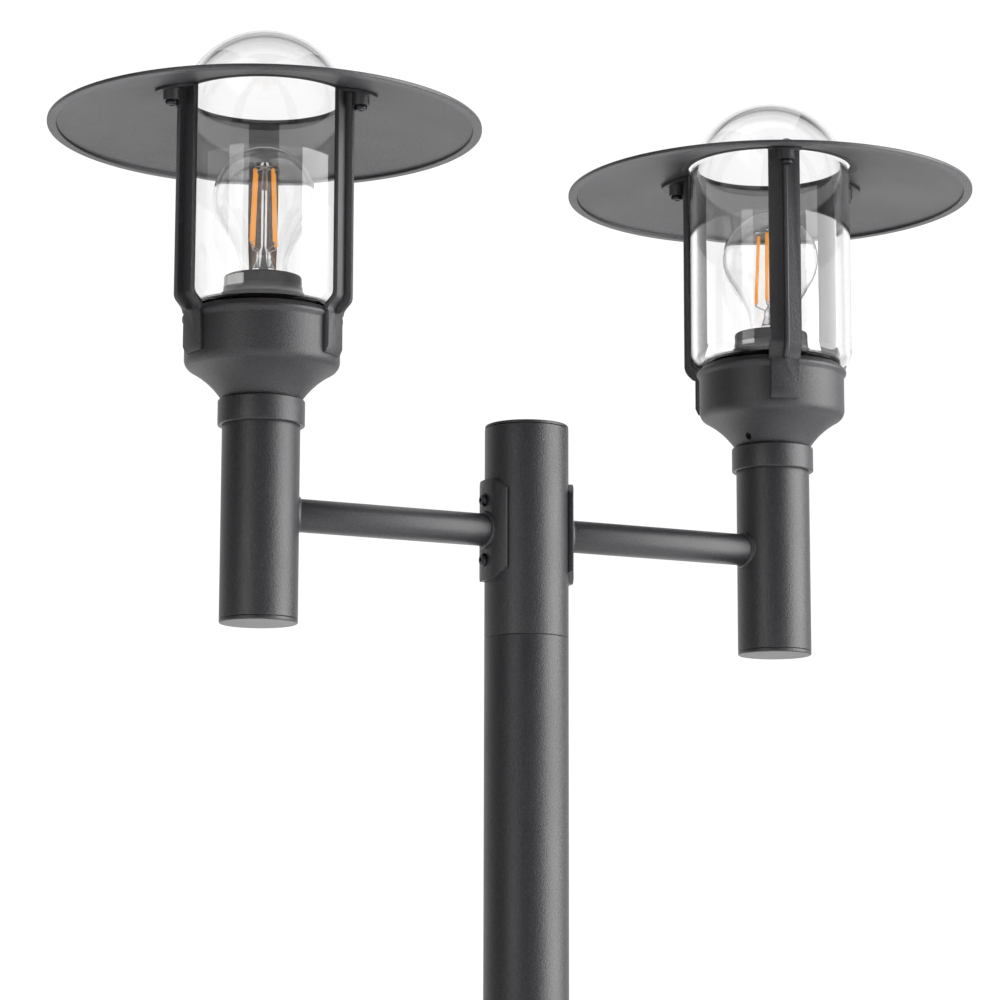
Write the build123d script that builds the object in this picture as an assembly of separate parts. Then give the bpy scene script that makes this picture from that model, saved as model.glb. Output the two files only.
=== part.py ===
from build123d import *
import math
import os

# Double-headed street lamp post. Millimetres, +Z up.
# Origin: centre of the base plate's underside. The arms lie along X.
# Heights named *_below_rim are measured down from the lower edge of the hats.

# ---- post and base ----
POST_RADIUS = 25.25
POST_WALL = 2.5
LOWER_POST_LENGTH = 920.0
UPPER_POST_LENGTH = 920.0
HEAD_TUBE_LENGTH = 126.6
TUBE_EDGE_BREAK = 0.4
POST_CAP_THICKNESS = 2.0
POST_CAP_INSET = 0.2
POST_CAP_EDGE = 0.8
CAP_SKIRT_LENGTH = 10.0
CAP_SKIRT_WALL = 3.0
BASE_RADIUS = 100.0
BASE_THICKNESS = 8.0
BASE_EDGE = 1.5
BASE_BOLT_INSET = 22.0
BASE_BOLT_COUNT = 4
BASE_BOLT_HOLE_RADIUS = 5.5
SLEEVE_WALL = 3.0
SLEEVE_LENGTH = 110.0
HEAD_SLEEVE_ABOVE_SEAM = 33.0
FOOT_LENGTH = 90.0
FOOT_COLLAR_HEIGHT = 4.0
FOOT_COLLAR_WIDTH = 5.0
FOOT_COLLAR_TOE = 0.6
GRUB_RADIUS = 2.5
GRUB_LENGTH = 5.0
GRUB_SOCKET_RADIUS = 1.5
GRUB_SINK = 0.4
GRUB_FROM_SEAM = 22.0
INLET_RADIUS = 7.0
GROMMET_WALL = 1.5
GROMMET_GRIP = 1.0
GROMMET_LIP = 2.0
GROMMET_LIP_HEIGHT = 1.5
GROMMET_LIFT = 0.5

# ---- arms ----
ARM_REACH = 172.0
ARM_RADIUS = 9.75
ARM_WALL = 1.75
ARM_BELOW_COLLAR = 65.4
SADDLE_THICKNESS = 3.0
SADDLE_HEIGHT = 60.5
SADDLE_HALF_ANGLE = 38.0
SADDLE_CORNER_WIDTH = 9.0
SADDLE_CORNER_HEIGHT = 7.0
SADDLE_SCREW_SPACING = 36.0
SADDLE_SCREW_PAST_BORE = 1.5
BUTTON_HEAD_RADIUS = 4.0
BUTTON_HEAD_HEIGHT = 2.3
M4_RADIUS = 2.0
M4_HOLE_CLEARANCE = 0.1
CABLE_HOLE_MARGIN = 0.5

# ---- lamp tubes under the lanterns ----
LAMP_TUBE_RADIUS = 22.7
LAMP_TUBE_WALL = 2.5
LAMP_TUBE_EDGE_BREAK = 0.3
TUBE_BOTTOM_BELOW_COLLAR = 130.0
TUBE_CAP_THICKNESS = 2.5
TUBE_CAP_EDGE = 0.9
COLLAR_WIDTH = 2.65
COLLAR_HEIGHT = 15.0
COLLAR_EDGE_BREAK = 0.8
COLLAR_FLOOR = 3.0
COLLAR_PLUG = 15.0
SPIGOT_WALL = 3.0
SPIGOT_HEIGHT = 15.0
RUNNING_FIT = 0.05
STACK_GAP = 0.1
BODY_GAP = 0.4

# ---- glass ----
GLASS_RADIUS = 50.5
GLASS_WALL = 4.0
GLASS_DOME_ABOVE_RIM = 8.5
GLASS_CORNER_RADIUS = 10.0
GLASS_CORNER_BELOW_RIM = 100.6
GLASS_LIP = 6.0
GLASS_SIDE_GAP = 0.7
GASKET_THICKNESS = 1.5
GASKET_WIDTH = 5.0
GASKET_SIDE_GAP = 0.2

# ---- lantern cup ----
CUP_INSET = 5.2
CUP_BEAD = 1.5
CUP_BEAD_HEIGHT = 1.2
CUP_WALL = 3.0
CUP_TOP_BELOW_GLASS_CORNER = 9.9
CUP_CHAMFER_HEIGHT = 3.5
CUP_CHAMFER_WIDTH = 3.4
CUP_WALL_HEIGHT = 29.2
CUP_SHOULDER_RADIUS = 3.0
CUP_SHOULDER_DROP = 4.8
CUP_FLARE_HEIGHT = 22.3
CUP_NECK_WALL = 3.1
CUP_FLARE_BULGE = 1.6
CUP_FLOOR_ABOVE_SPIGOT = 11.0
CUP_GRUB_RISE = 4.3
CUP_GRUB_ANGLE = -155.0
CUP_GRUB_LENGTH = 4.0
CUP_GRUB_SOCKET_RADIUS = 1.15

# ---- struts ----
STRUT_COUNT = 3
STRUT_ANGLE = -111.0
STRUT_WIDTH = 19.4
STRUT_THICKNESS = 2.8
STRUT_BEND_ANGLE = 45.0
STRUT_BEND_RADIUS = 6.0
STRUT_NOTCH_CLEARANCE = 0.3
PAD_WIDTH = 17.0
PAD_TOP_BELOW_CUP_TOP = 3.9
PAD_BOTTOM_ABOVE_CREASE = 1.4
PAD_CHAMFER_HEIGHT = 4.0
PAD_CHAMFER_DEPTH = 1.9
RIB_HEIGHT = 4.5
RIB_THICKNESS = 2.6
RIB_EDGE = 0.5
RIB_BEND_RADIUS = 10.0
RIB_TOE_RADIUS = 3.0
RIB_ROOT_DEPTH = 1.0
LUG_THICKNESS = 1.8
LUG_REACH = 9.0
BOSS_RADIUS = 5.0
BOSS_HEIGHT = 6.6
PAN_HEAD_RADIUS = 3.8
PAN_HEAD_HEIGHT = 2.8
RECESS_WIDTH = 0.9
RECESS_LENGTH = 4.2
RECESS_DEPTH = 1.2
PAD_SCREW_BELOW_CUP_TOP = 16.5
PAD_SCREW_END_WALL = 1.0
PAD_SCREW_END_GAP = 0.3
SCREW_POCKET_CLEARANCE = 0.5
SPOT_FACE_DEPTH = 0.8

# ---- hat ----
HAT_RADIUS = 127.5
HAT_SHEET = 1.6
HAT_RISE = 18.5
HAT_LIP_WIDTH = 5.5
HAT_LIP_STEP = 1.9
HAT_EDGE = 0.6
SEAL_WEB = 1.2
SEAL_FLANGE = 3.0
SEAL_LIP = 0.8
SEAL_EDGE = 0.4
CAP_NUT_RADIUS = 4.4
CAP_NUT_HEIGHT = 6.0

# ---- lampholder and bulb ----
HOLDER_RADIUS = 22.8
HOLDER_FOOT_RADIUS = 23.6
HOLDER_FOOT_STEP = 0.8
HOLDER_EDGE = 1.2
HOLDER_ABOVE_CUP_TOP = 21.5
HOLDER_BARREL_HEIGHT = 14.5
HOLDER_BORE_CLEARANCE = 0.5
SHELL_WALL = 0.8
SHELL_DEPTH = 27.0
SHELL_SINK = 2.0
SHELL_FLOOR_GAP = 1.0
SHELL_CLEARANCE = 0.25
NIPPLE_RADIUS = 4.95
NIPPLE_BORE = 3.6
NIPPLE_HEAD_RADIUS = 8.0
NIPPLE_HEAD_HEIGHT = 4.0
NIPPLE_ABOVE_FLOOR = 6.0
BULB_RADIUS = 30.0
BULB_HEIGHT_ABOVE_HOLDER = 78.0
BULB_GLASS = 0.9
BULB_NECK_RADIUS = 14.2
BULB_NECK_HEIGHT = 6.0
BULB_SHOULDER_ANGLE = -32.0
BULB_CAP_RADIUS = 13.05
BULB_CAP_LENGTH = 22.0
BULB_CAP_LAP = 0.3
BULB_TIP_LENGTH = 3.0
THREAD_PITCH = 3.6
THREAD_DEPTH = 0.7
STEM_FLARE = 10.5
STEM_RADIUS = 4.4
STEM_ROD_RADIUS = 1.8
STEM_KNOB_RADIUS = 2.9
STEM_KNOB_HEIGHT = 5.0
STEM_TOP_BELOW_BULB_TOP = 8.6
FILAMENT_RADIUS = 1.1
FILAMENT_TOP_BELOW_BULB_TOP = 12.5
FILAMENT_BOTTOM_BELOW_BULB_TOP = 59.5
FILAMENT_TOP_SPREAD = 7.3
FILAMENT_BOTTOM_SPREAD = 9.6
FILAMENT_COUNT = 4
FILAMENT_ANGLE = 44.0
LEFT_BULB_TURN = -25.0

# ---- wiring ----
CABLE_RADIUS = 3.0
CABLE_BEND_RADIUS = 34.0
CABLE_OFFSET_Y = 3.4
CABLE_END_GAP = 0.5
TERMINAL_WIDTH = 14.0
TERMINAL_HEIGHT = 22.0
TERMINAL_SIDE_GAP = 1.3
TERMINAL_PORT_WALL = 1.2
TERMINAL_LEG_HEIGHT = 22.0
TERMINAL_LEG_WIDTH = 3.0
TERMINAL_PORT_DEPTH = 8.0
CABLE_CLEARANCE = 0.3

# ---- places worked out from the sizes ----
POST_BORE = POST_RADIUS - POST_WALL
SLEEVE_RADIUS = POST_BORE - RUNNING_FIT
SLEEVE_BORE = SLEEVE_RADIUS - SLEEVE_WALL
BASE_BOLT_CIRCLE_RADIUS = BASE_RADIUS - BASE_BOLT_INSET
COLLAR_RADIUS = LAMP_TUBE_RADIUS + COLLAR_WIDTH
LAMP_TUBE_BORE = LAMP_TUBE_RADIUS - LAMP_TUBE_WALL
SADDLE_RADIUS = POST_RADIUS + SADDLE_THICKNESS
CABLE_HOLE_RADIUS = ARM_RADIUS - ARM_WALL - CABLE_HOLE_MARGIN
CUP_RADIUS = GLASS_RADIUS - CUP_INSET
CUP_BORE = CUP_RADIUS - CUP_WALL
CUP_TOP_BELOW_RIM = GLASS_CORNER_BELOW_RIM + CUP_TOP_BELOW_GLASS_CORNER
CUP_CREASE_BELOW_RIM = CUP_TOP_BELOW_RIM + CUP_WALL_HEIGHT
COLLAR_TOP_BELOW_RIM = CUP_CREASE_BELOW_RIM + CUP_FLARE_HEIGHT
ARM_BELOW_RIM = COLLAR_TOP_BELOW_RIM + ARM_BELOW_COLLAR
TUBE_BOTTOM_BELOW_RIM = COLLAR_TOP_BELOW_RIM + TUBE_BOTTOM_BELOW_COLLAR
PAD_TOP_BELOW_RIM = CUP_TOP_BELOW_RIM + PAD_TOP_BELOW_CUP_TOP
PAD_SCREW_BELOW_RIM = CUP_TOP_BELOW_RIM + PAD_SCREW_BELOW_CUP_TOP
SPIGOT_RADIUS = LAMP_TUBE_BORE - RUNNING_FIT
SPIGOT_BORE = SPIGOT_RADIUS - SPIGOT_WALL
SPIGOT_TOP = -COLLAR_TOP_BELOW_RIM + SPIGOT_HEIGHT
CUP_NECK_RADIUS = SPIGOT_RADIUS + RUNNING_FIT + CUP_NECK_WALL
CUP_FLOOR_BELOW_RIM = -SPIGOT_TOP - CUP_FLOOR_ABOVE_SPIGOT
GLASS_MOUTH = GLASS_RADIUS - GLASS_CORNER_RADIUS
GLASS_BOTTOM = -GLASS_CORNER_BELOW_RIM - GLASS_CORNER_RADIUS - GLASS_LIP
GASKET_BOTTOM = GLASS_BOTTOM - GASKET_THICKNESS - STACK_GAP
SEAL_RADIUS = GLASS_RADIUS + GLASS_SIDE_GAP
HAT_HOLE = SEAL_RADIUS + SEAL_WEB
HAT_LIP_RADIUS = HAT_RADIUS - HAT_LIP_WIDTH
HAT_SLOPE = (HAT_RISE - HAT_LIP_STEP) / (HAT_LIP_RADIUS - HAT_HOLE)
STRUT_FACE = GLASS_RADIUS + GLASS_SIDE_GAP
BOSS_PLACE = STRUT_FACE + STRUT_THICKNESS + LUG_REACH
HOLDER_TOP_BELOW_RIM = CUP_TOP_BELOW_RIM - HOLDER_ABOVE_CUP_TOP
HOLDER_FOOT_BELOW_RIM = HOLDER_TOP_BELOW_RIM + HOLDER_BARREL_HEIGHT
HOLDER_BORE = BULB_CAP_RADIUS + SHELL_CLEARANCE + SHELL_WALL + HOLDER_BORE_CLEARANCE
BULB_TOP_BELOW_RIM = HOLDER_TOP_BELOW_RIM - BULB_HEIGHT_ABOVE_HOLDER
STEM_TOP_BELOW_RIM = BULB_TOP_BELOW_RIM + STEM_TOP_BELOW_BULB_TOP
FILAMENT_TOP_BELOW_RIM = BULB_TOP_BELOW_RIM + FILAMENT_TOP_BELOW_BULB_TOP
FILAMENT_BOTTOM_BELOW_RIM = BULB_TOP_BELOW_RIM + FILAMENT_BOTTOM_BELOW_BULB_TOP
TERMINAL_LENGTH = 2 * math.sqrt((SLEEVE_BORE - TERMINAL_SIDE_GAP) ** 2 - (TERMINAL_WIDTH / 2) ** 2)
CABLE_OFFSET_X = TERMINAL_LENGTH / 2 - CABLE_RADIUS - CABLE_CLEARANCE - TERMINAL_PORT_WALL
LOWER_POST_BOTTOM = BASE_THICKNESS + FOOT_COLLAR_HEIGHT
MID_SEAM = LOWER_POST_BOTTOM + LOWER_POST_LENGTH
HEAD_SEAM = MID_SEAM + UPPER_POST_LENGTH
HEAD_TUBE_TOP = HEAD_SEAM + HEAD_TUBE_LENGTH
RIM = HEAD_TUBE_TOP + POST_CAP_THICKNESS + COLLAR_TOP_BELOW_RIM + BODY_GAP
ARM_HEIGHT = RIM - ARM_BELOW_RIM
OVER = 1.0
FAR = 400.0


def hat_underside(radius):
    """Height of the hat's underside over the rim's lower edge at a radius."""
    return HAT_RISE - (radius - HAT_HOLE) * HAT_SLOPE


def turned(*points):
    """Solid of revolution about Z from straight-sided (radius, height) points."""
    outline = Polyline(*[(r, 0, z) for r, z in points], close=True)
    return revolve(make_face(outline), Axis.Z)


def ring(inner, outer, low, high):
    """Plain tube about Z between two heights."""
    return turned((inner, low), (outer, low), (outer, high), (inner, high))


def rod(radius, low, high):
    """Plain cylinder about Z between two heights."""
    return Pos(0, 0, low) * Cylinder(radius, high - low, align=(Align.CENTER, Align.CENTER, Align.MIN))


def radial(shape, angle, height):
    """Turns a shape built along +Z so that it points outwards at an angle and height."""
    return Pos(0, 0, height) * Rot(0, 0, angle) * Rot(0, 90, 0) * shape


def edges_near(shape, radius, height, tolerance=0.05):
    """Circular edges about Z at a given radius and height."""
    found = []
    for edge in shape.edges().filter_by(GeomType.CIRCLE):
        middle = edge.arc_center
        on_axis = math.hypot(middle.X, middle.Y) < tolerance
        if on_axis and abs(edge.radius - radius) < tolerance and abs(middle.Z - height) < tolerance:
            found.append(edge)
    return found


# ---------------------------------------------------------------- fasteners
def grub_screw(radius, length, socket):
    """Headless screw along +Z from its tip at 0, with a hexagon socket in its outer end."""
    body = rod(radius, 0, length)
    hexagon = extrude(RegularPolygon(socket, 6), length * 0.45)
    return body - Pos(0, 0, length * 0.55) * hexagon


def cross_recess():
    """Cutter for a cross recess, open at height 0 and going down."""
    slot = Box(RECESS_LENGTH, RECESS_WIDTH, RECESS_DEPTH, align=(Align.CENTER, Align.CENTER, Align.MAX))
    return slot + Rot(0, 0, 90) * slot


def pan_screw(length):
    """Pan-head screw along +Z: its head stands on 0 and its shank runs down."""
    head = rod(PAN_HEAD_RADIUS, 0, PAN_HEAD_HEIGHT)
    head = fillet(edges_near(head, PAN_HEAD_RADIUS, PAN_HEAD_HEIGHT), PAN_HEAD_HEIGHT * 0.55)
    head -= Pos(0, 0, PAN_HEAD_HEIGHT) * cross_recess()
    return head + rod(M4_RADIUS, -length, 0)


def button_screw(length):
    """Button-head screw along +Z with a hexagon socket."""
    head = rod(BUTTON_HEAD_RADIUS, 0, BUTTON_HEAD_HEIGHT)
    head = fillet(edges_near(head, BUTTON_HEAD_RADIUS, BUTTON_HEAD_HEIGHT), BUTTON_HEAD_HEIGHT * 0.8)
    head -= Pos(0, 0, BUTTON_HEAD_HEIGHT * 0.4) * extrude(RegularPolygon(GRUB_SOCKET_RADIUS, 6), FAR)
    return head + rod(M4_RADIUS, -length, 0)


# ---------------------------------------------------------------- base and post
def post_grub_places():
    """(angle, height) of each headless screw that locks a post tube on its inner sleeve."""
    foot_height = LOWER_POST_BOTTOM + FOOT_LENGTH * 0.5
    places = [(angle, foot_height) for angle in (30, 150, 270)]
    for seam in (MID_SEAM, HEAD_SEAM):
        places += [(90, seam - GRUB_FROM_SEAM), (90, seam + GRUB_FROM_SEAM)]
    return places


def post_grub_holes():
    hole = rod(GRUB_RADIUS + RUNNING_FIT, SLEEVE_BORE - OVER, POST_RADIUS + OVER)
    return [radial(hole, angle, height) for angle, height in post_grub_places()]


def post_tube(low, high):
    """One length of post, drilled for its locking screws, with lightly broken ends."""
    tube = ring(POST_BORE, POST_RADIUS, low, high)
    ends = edges_near(tube, POST_RADIUS, low) + edges_near(tube, POST_RADIUS, high)
    tube = chamfer(ends, TUBE_EDGE_BREAK)
    for hole in post_grub_holes():
        tube -= hole
    return tube


def sleeve(low, high):
    """Inner sleeve that joins two lengths of post."""
    tube = ring(SLEEVE_BORE, SLEEVE_RADIUS, low, high)
    for hole in post_grub_holes():
        tube -= hole
    return tube


def make_base_plate():
    plate = rod(BASE_RADIUS, 0, BASE_THICKNESS)
    plate = fillet(edges_near(plate, BASE_RADIUS, BASE_THICKNESS), BASE_EDGE)
    plate -= rod(INLET_RADIUS + GROMMET_WALL, -OVER, BASE_THICKNESS + OVER)
    for hole in PolarLocations(BASE_BOLT_CIRCLE_RADIUS, BASE_BOLT_COUNT, start_angle=45):
        plate -= hole * Cylinder(BASE_BOLT_HOLE_RADIUS, BASE_THICKNESS * 3)
    return plate


def make_foot():
    """Foot sleeve on the base plate: a weld collar below and a spigot for the lower post."""
    collar_radius = POST_RADIUS + FOOT_COLLAR_WIDTH
    top = LOWER_POST_BOTTOM + FOOT_LENGTH
    foot = turned((SLEEVE_BORE, BASE_THICKNESS), (collar_radius, BASE_THICKNESS),
                  (POST_RADIUS + FOOT_COLLAR_TOE, LOWER_POST_BOTTOM), (SLEEVE_RADIUS, LOWER_POST_BOTTOM),
                  (SLEEVE_RADIUS, top), (SLEEVE_BORE, top))
    for hole in post_grub_holes():
        foot -= hole
    return foot


def make_grommet():
    """Rubber bush in the plate's cable hole, with a lip above the plate."""
    inner = INLET_RADIUS - GROMMET_GRIP
    outer = INLET_RADIUS + GROMMET_WALL
    top = BASE_THICKNESS + GROMMET_LIP_HEIGHT
    return turned((inner, GROMMET_LIFT), (outer, GROMMET_LIFT), (outer, BASE_THICKNESS),
                  (outer + GROMMET_LIP, BASE_THICKNESS), (outer + GROMMET_LIP, top), (inner, top))


def arm_cross_hole(sign):
    """Cutter along X for the cable's way out of the head tube on one side."""
    reach = SADDLE_RADIUS + OVER
    return Pos(sign * reach / 2, 0, ARM_HEIGHT) * Rot(0, 90, 0) * Cylinder(CABLE_HOLE_RADIUS, reach)


def saddle_screw_places():
    return [(angle, ARM_HEIGHT + step * SADDLE_SCREW_SPACING / 2) for angle in (0, 180) for step in (-1, 1)]


def make_head_tube():
    tube = post_tube(HEAD_SEAM, HEAD_TUBE_TOP)
    for sign in (-1, 1):
        tube -= arm_cross_hole(sign)
    for angle, height in saddle_screw_places():
        tube -= radial(rod(M4_RADIUS + RUNNING_FIT, POST_BORE - OVER, POST_RADIUS + OVER), angle, height)
    return tube


def make_post_cap():
    radius = POST_RADIUS - POST_CAP_INSET
    skirt = POST_BORE - RUNNING_FIT
    bore = skirt - CAP_SKIRT_WALL
    top = HEAD_TUBE_TOP + POST_CAP_THICKNESS
    underside = top - CAP_SKIRT_WALL
    foot = HEAD_TUBE_TOP - CAP_SKIRT_LENGTH
    cap = turned((0, top), (0, underside), (bore, underside), (bore, foot), (skirt, foot),
                 (skirt, HEAD_TUBE_TOP), (radius, HEAD_TUBE_TOP), (radius, top))
    return fillet(edges_near(cap, radius, top), POST_CAP_EDGE)


def make_post_grubs():
    outer_end = POST_RADIUS - GRUB_SINK
    screw = Pos(0, 0, outer_end - GRUB_LENGTH) * grub_screw(GRUB_RADIUS, GRUB_LENGTH, GRUB_SOCKET_RADIUS)
    return Compound(children=[radial(screw, angle, height) for angle, height in post_grub_places()])


def make_saddle_screws():
    reach = SADDLE_RADIUS - POST_BORE + SADDLE_SCREW_PAST_BORE
    screw = Pos(0, 0, SADDLE_RADIUS) * button_screw(reach)
    return Compound(children=[radial(screw, angle, height) for angle, height in saddle_screw_places()])


def make_terminal_block():
    """Terminal block on two feet over the cable hole, with a port for each lamp cable."""
    low = BASE_THICKNESS + TERMINAL_LEG_HEIGHT
    block = Pos(0, 0, low + TERMINAL_HEIGHT / 2) * Box(TERMINAL_LENGTH, TERMINAL_WIDTH, TERMINAL_HEIGHT)
    for sign in (-1, 1):
        middle = sign * (TERMINAL_LENGTH - TERMINAL_LEG_WIDTH) / 2
        block += Pos(middle, 0, BASE_THICKNESS + TERMINAL_LEG_HEIGHT / 2) * Box(
            TERMINAL_LEG_WIDTH, TERMINAL_WIDTH, TERMINAL_LEG_HEIGHT)
        port = rod(CABLE_RADIUS + CABLE_CLEARANCE, low + TERMINAL_HEIGHT - TERMINAL_PORT_DEPTH, FAR)
        block -= Pos(sign * CABLE_OFFSET_X, sign * CABLE_OFFSET_Y, 0) * port
    return block


# ---------------------------------------------------------------- one side, built on +X
def saddle_sector():
    """Wedge about Z that a saddle's rolled plate fills, from height 0 up."""
    reach = 2 * SADDLE_RADIUS
    corners = [(0, 0)]
    for angle in (-SADDLE_HALF_ANGLE, 0, SADDLE_HALF_ANGLE):
        corners.append((reach * math.cos(math.radians(angle)), reach * math.sin(math.radians(angle))))
    return extrude(make_face(Polyline(*corners, close=True)), SADDLE_HEIGHT)


def saddle_corner_cutter(side, end):
    """Cutter for one corner of the saddle: side is -1 or 1 across, end is -1 below or 1 above."""
    corner_y = side * SADDLE_RADIUS * math.sin(math.radians(SADDLE_HALF_ANGLE))
    corner_z = (end + 1) / 2 * SADDLE_HEIGHT
    inner_y = corner_y - side * SADDLE_CORNER_WIDTH
    inner_z = corner_z - end * SADDLE_CORNER_HEIGHT
    past_y = corner_y + side * SADDLE_CORNER_WIDTH
    past_z = corner_z + end * SADDLE_CORNER_HEIGHT
    outline = Polyline((0, inner_y, corner_z), (0, corner_y, inner_z), (0, past_y, inner_z),
                       (0, past_y, past_z), (0, inner_y, past_z), close=True)
    return extrude(make_face(outline), 2 * SADDLE_RADIUS, dir=(1, 0, 0))


def make_saddle():
    """Rolled plate with cut corners that carries the arm on the head tube."""
    plate = ring(POST_RADIUS + RUNNING_FIT, SADDLE_RADIUS, 0, SADDLE_HEIGHT) & saddle_sector()
    for side in (-1, 1):
        for end in (-1, 1):
            plate -= saddle_corner_cutter(side, end)
    plate = Pos(0, 0, ARM_HEIGHT - SADDLE_HEIGHT / 2) * plate
    plate -= arm_cross_hole(1)
    hole = rod(M4_RADIUS + M4_HOLE_CLEARANCE, POST_RADIUS - OVER, SADDLE_RADIUS + OVER)
    for step in (-1, 1):
        plate -= radial(hole, 0, ARM_HEIGHT + step * SADDLE_SCREW_SPACING / 2)
    return plate


def make_arm():
    """Arm tube, coped to the saddle and to the lamp tube."""
    middle = Pos(ARM_REACH / 2, 0, ARM_HEIGHT) * Rot(0, 90, 0)
    arm = middle * Cylinder(ARM_RADIUS, ARM_REACH) - middle * Cylinder(ARM_RADIUS - ARM_WALL, ARM_REACH)
    arm -= rod(SADDLE_RADIUS + RUNNING_FIT, ARM_HEIGHT - FAR, ARM_HEIGHT + FAR)
    return arm - Pos(ARM_REACH, 0, 0) * rod(LAMP_TUBE_RADIUS + RUNNING_FIT, ARM_HEIGHT - FAR, ARM_HEIGHT + FAR)


def make_lamp_tube():
    low = -TUBE_BOTTOM_BELOW_RIM + TUBE_CAP_THICKNESS
    high = -COLLAR_TOP_BELOW_RIM - COLLAR_FLOOR
    tube = ring(LAMP_TUBE_BORE, LAMP_TUBE_RADIUS, low, high)
    tube = chamfer(edges_near(tube, LAMP_TUBE_RADIUS, low), LAMP_TUBE_EDGE_BREAK)
    reach = LAMP_TUBE_RADIUS + OVER
    return tube - Pos(-reach / 2, 0, -ARM_BELOW_RIM) * Rot(0, 90, 0) * Cylinder(ARM_RADIUS - ARM_WALL, reach)


def make_tube_cap():
    low = -TUBE_BOTTOM_BELOW_RIM
    top = low + TUBE_CAP_THICKNESS
    seat = top - STACK_GAP
    bore = SPIGOT_RADIUS - CAP_SKIRT_WALL
    cap = turned((0, low), (LAMP_TUBE_RADIUS, low), (LAMP_TUBE_RADIUS, seat), (SPIGOT_RADIUS, seat),
                 (SPIGOT_RADIUS, top + CAP_SKIRT_LENGTH), (bore, top + CAP_SKIRT_LENGTH), (bore, top), (0, top))
    return fillet(edges_near(cap, LAMP_TUBE_RADIUS, low), TUBE_CAP_EDGE)


def make_collar():
    """Turned collar on the lamp tube, with a plug inside the tube and a spigot for the cup."""
    top = -COLLAR_TOP_BELOW_RIM
    floor = top - COLLAR_FLOOR
    foot = top - COLLAR_HEIGHT
    seat = LAMP_TUBE_RADIUS + RUNNING_FIT
    collar = turned((SPIGOT_BORE, floor - COLLAR_PLUG), (SPIGOT_RADIUS, floor - COLLAR_PLUG), (SPIGOT_RADIUS, floor),
                    (seat, floor), (seat, foot), (COLLAR_RADIUS, foot), (COLLAR_RADIUS, top), (SPIGOT_RADIUS, top),
                    (SPIGOT_RADIUS, SPIGOT_TOP), (SPIGOT_BORE, SPIGOT_TOP))
    rims = edges_near(collar, COLLAR_RADIUS, top) + edges_near(collar, COLLAR_RADIUS, foot)
    return chamfer(rims, COLLAR_EDGE_BREAK)


def cup_inside():
    """Outline of the cup from its foot's bore, up its hollow and down its outer wall to the crease."""
    top = -CUP_TOP_BELOW_RIM
    floor = -CUP_FLOOR_BELOW_RIM
    bore = SPIGOT_RADIUS + RUNNING_FIT
    ceiling = SPIGOT_TOP + BODY_GAP
    eye = NIPPLE_RADIUS + STACK_GAP
    shelf_bore = CUP_BORE - GASKET_WIDTH
    bead = CUP_RADIUS + CUP_BEAD
    bead_top = top - CUP_CHAMFER_HEIGHT
    return Polyline((bore, 0, -COLLAR_TOP_BELOW_RIM + BODY_GAP), (bore, 0, ceiling), (eye, 0, ceiling),
                    (eye, 0, floor), (shelf_bore, 0, floor), (shelf_bore, 0, GASKET_BOTTOM),
                    (CUP_BORE, 0, GASKET_BOTTOM), (CUP_BORE, 0, top), (bead - CUP_CHAMFER_WIDTH, 0, top),
                    (bead, 0, bead_top), (bead, 0, bead_top - CUP_BEAD_HEIGHT),
                    (CUP_RADIUS, 0, bead_top - 2 * CUP_BEAD), (CUP_RADIUS, 0, -CUP_CREASE_BELOW_RIM))


def make_cup():
    """Cast cup: chamfered mouth, straight wall, flared foot with a bore for the spigot."""
    crease = -CUP_CREASE_BELOW_RIM
    foot = -COLLAR_TOP_BELOW_RIM + BODY_GAP
    shoulder = (CUP_RADIUS - CUP_SHOULDER_RADIUS, 0, crease - CUP_SHOULDER_DROP)
    bulge = ((CUP_RADIUS - CUP_SHOULDER_RADIUS * 0.32), 0, crease - CUP_SHOULDER_DROP * 0.56)
    middle = ((shoulder[0] + CUP_NECK_RADIUS) / 2 - CUP_FLARE_BULGE * 0.66, 0,
              (shoulder[2] + foot) / 2 + CUP_FLARE_BULGE * 0.75)
    corner = ThreePointArc((CUP_RADIUS, 0, crease), bulge, shoulder)
    flare = ThreePointArc(shoulder, middle, (CUP_NECK_RADIUS, 0, foot))
    close = Line((CUP_NECK_RADIUS, 0, foot), (SPIGOT_RADIUS + RUNNING_FIT, 0, foot))
    cup = revolve(make_face(cup_inside() + corner + flare + close), Axis.Z)
    for angle in strut_angles():
        cup -= pad_screw_hole(angle)
        cup -= Rot(0, 0, angle) * bead_notch()
    return cup - cup_grub_hole()


def bead_notch():
    """Cutter that lets a strut lie against the cup's wall through its bead."""
    high = -CUP_TOP_BELOW_RIM + OVER
    low = -CUP_TOP_BELOW_RIM - CUP_CHAMFER_HEIGHT - 2 * CUP_BEAD
    width = STRUT_WIDTH + 2 * STRUT_NOTCH_CLEARANCE
    block = Pos(CUP_RADIUS, 0, (low + high) / 2) * Box(4 * STRUT_THICKNESS, width, high - low)
    return block - rod(CUP_RADIUS + RUNNING_FIT, low - OVER, high + OVER)


def cup_grub_height():
    return -COLLAR_TOP_BELOW_RIM + CUP_GRUB_RISE


def cup_grub_hole():
    hole = rod(M4_RADIUS + RUNNING_FIT, SPIGOT_RADIUS - OVER, CUP_RADIUS)
    return radial(hole, CUP_GRUB_ANGLE, cup_grub_height())


def make_cup_grub():
    screw = grub_screw(M4_RADIUS, CUP_GRUB_LENGTH, CUP_GRUB_SOCKET_RADIUS)
    return radial(Pos(0, 0, SPIGOT_RADIUS + 2 * STACK_GAP) * screw, CUP_GRUB_ANGLE, cup_grub_height())


def strut_angles():
    return [STRUT_ANGLE + 360 / STRUT_COUNT * k for k in range(STRUT_COUNT)]


def pad_screw_seat():
    return CUP_BORE - GASKET_WIDTH + SPOT_FACE_DEPTH


def pad_outer():
    return CUP_RADIUS + STRUT_THICKNESS


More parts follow.
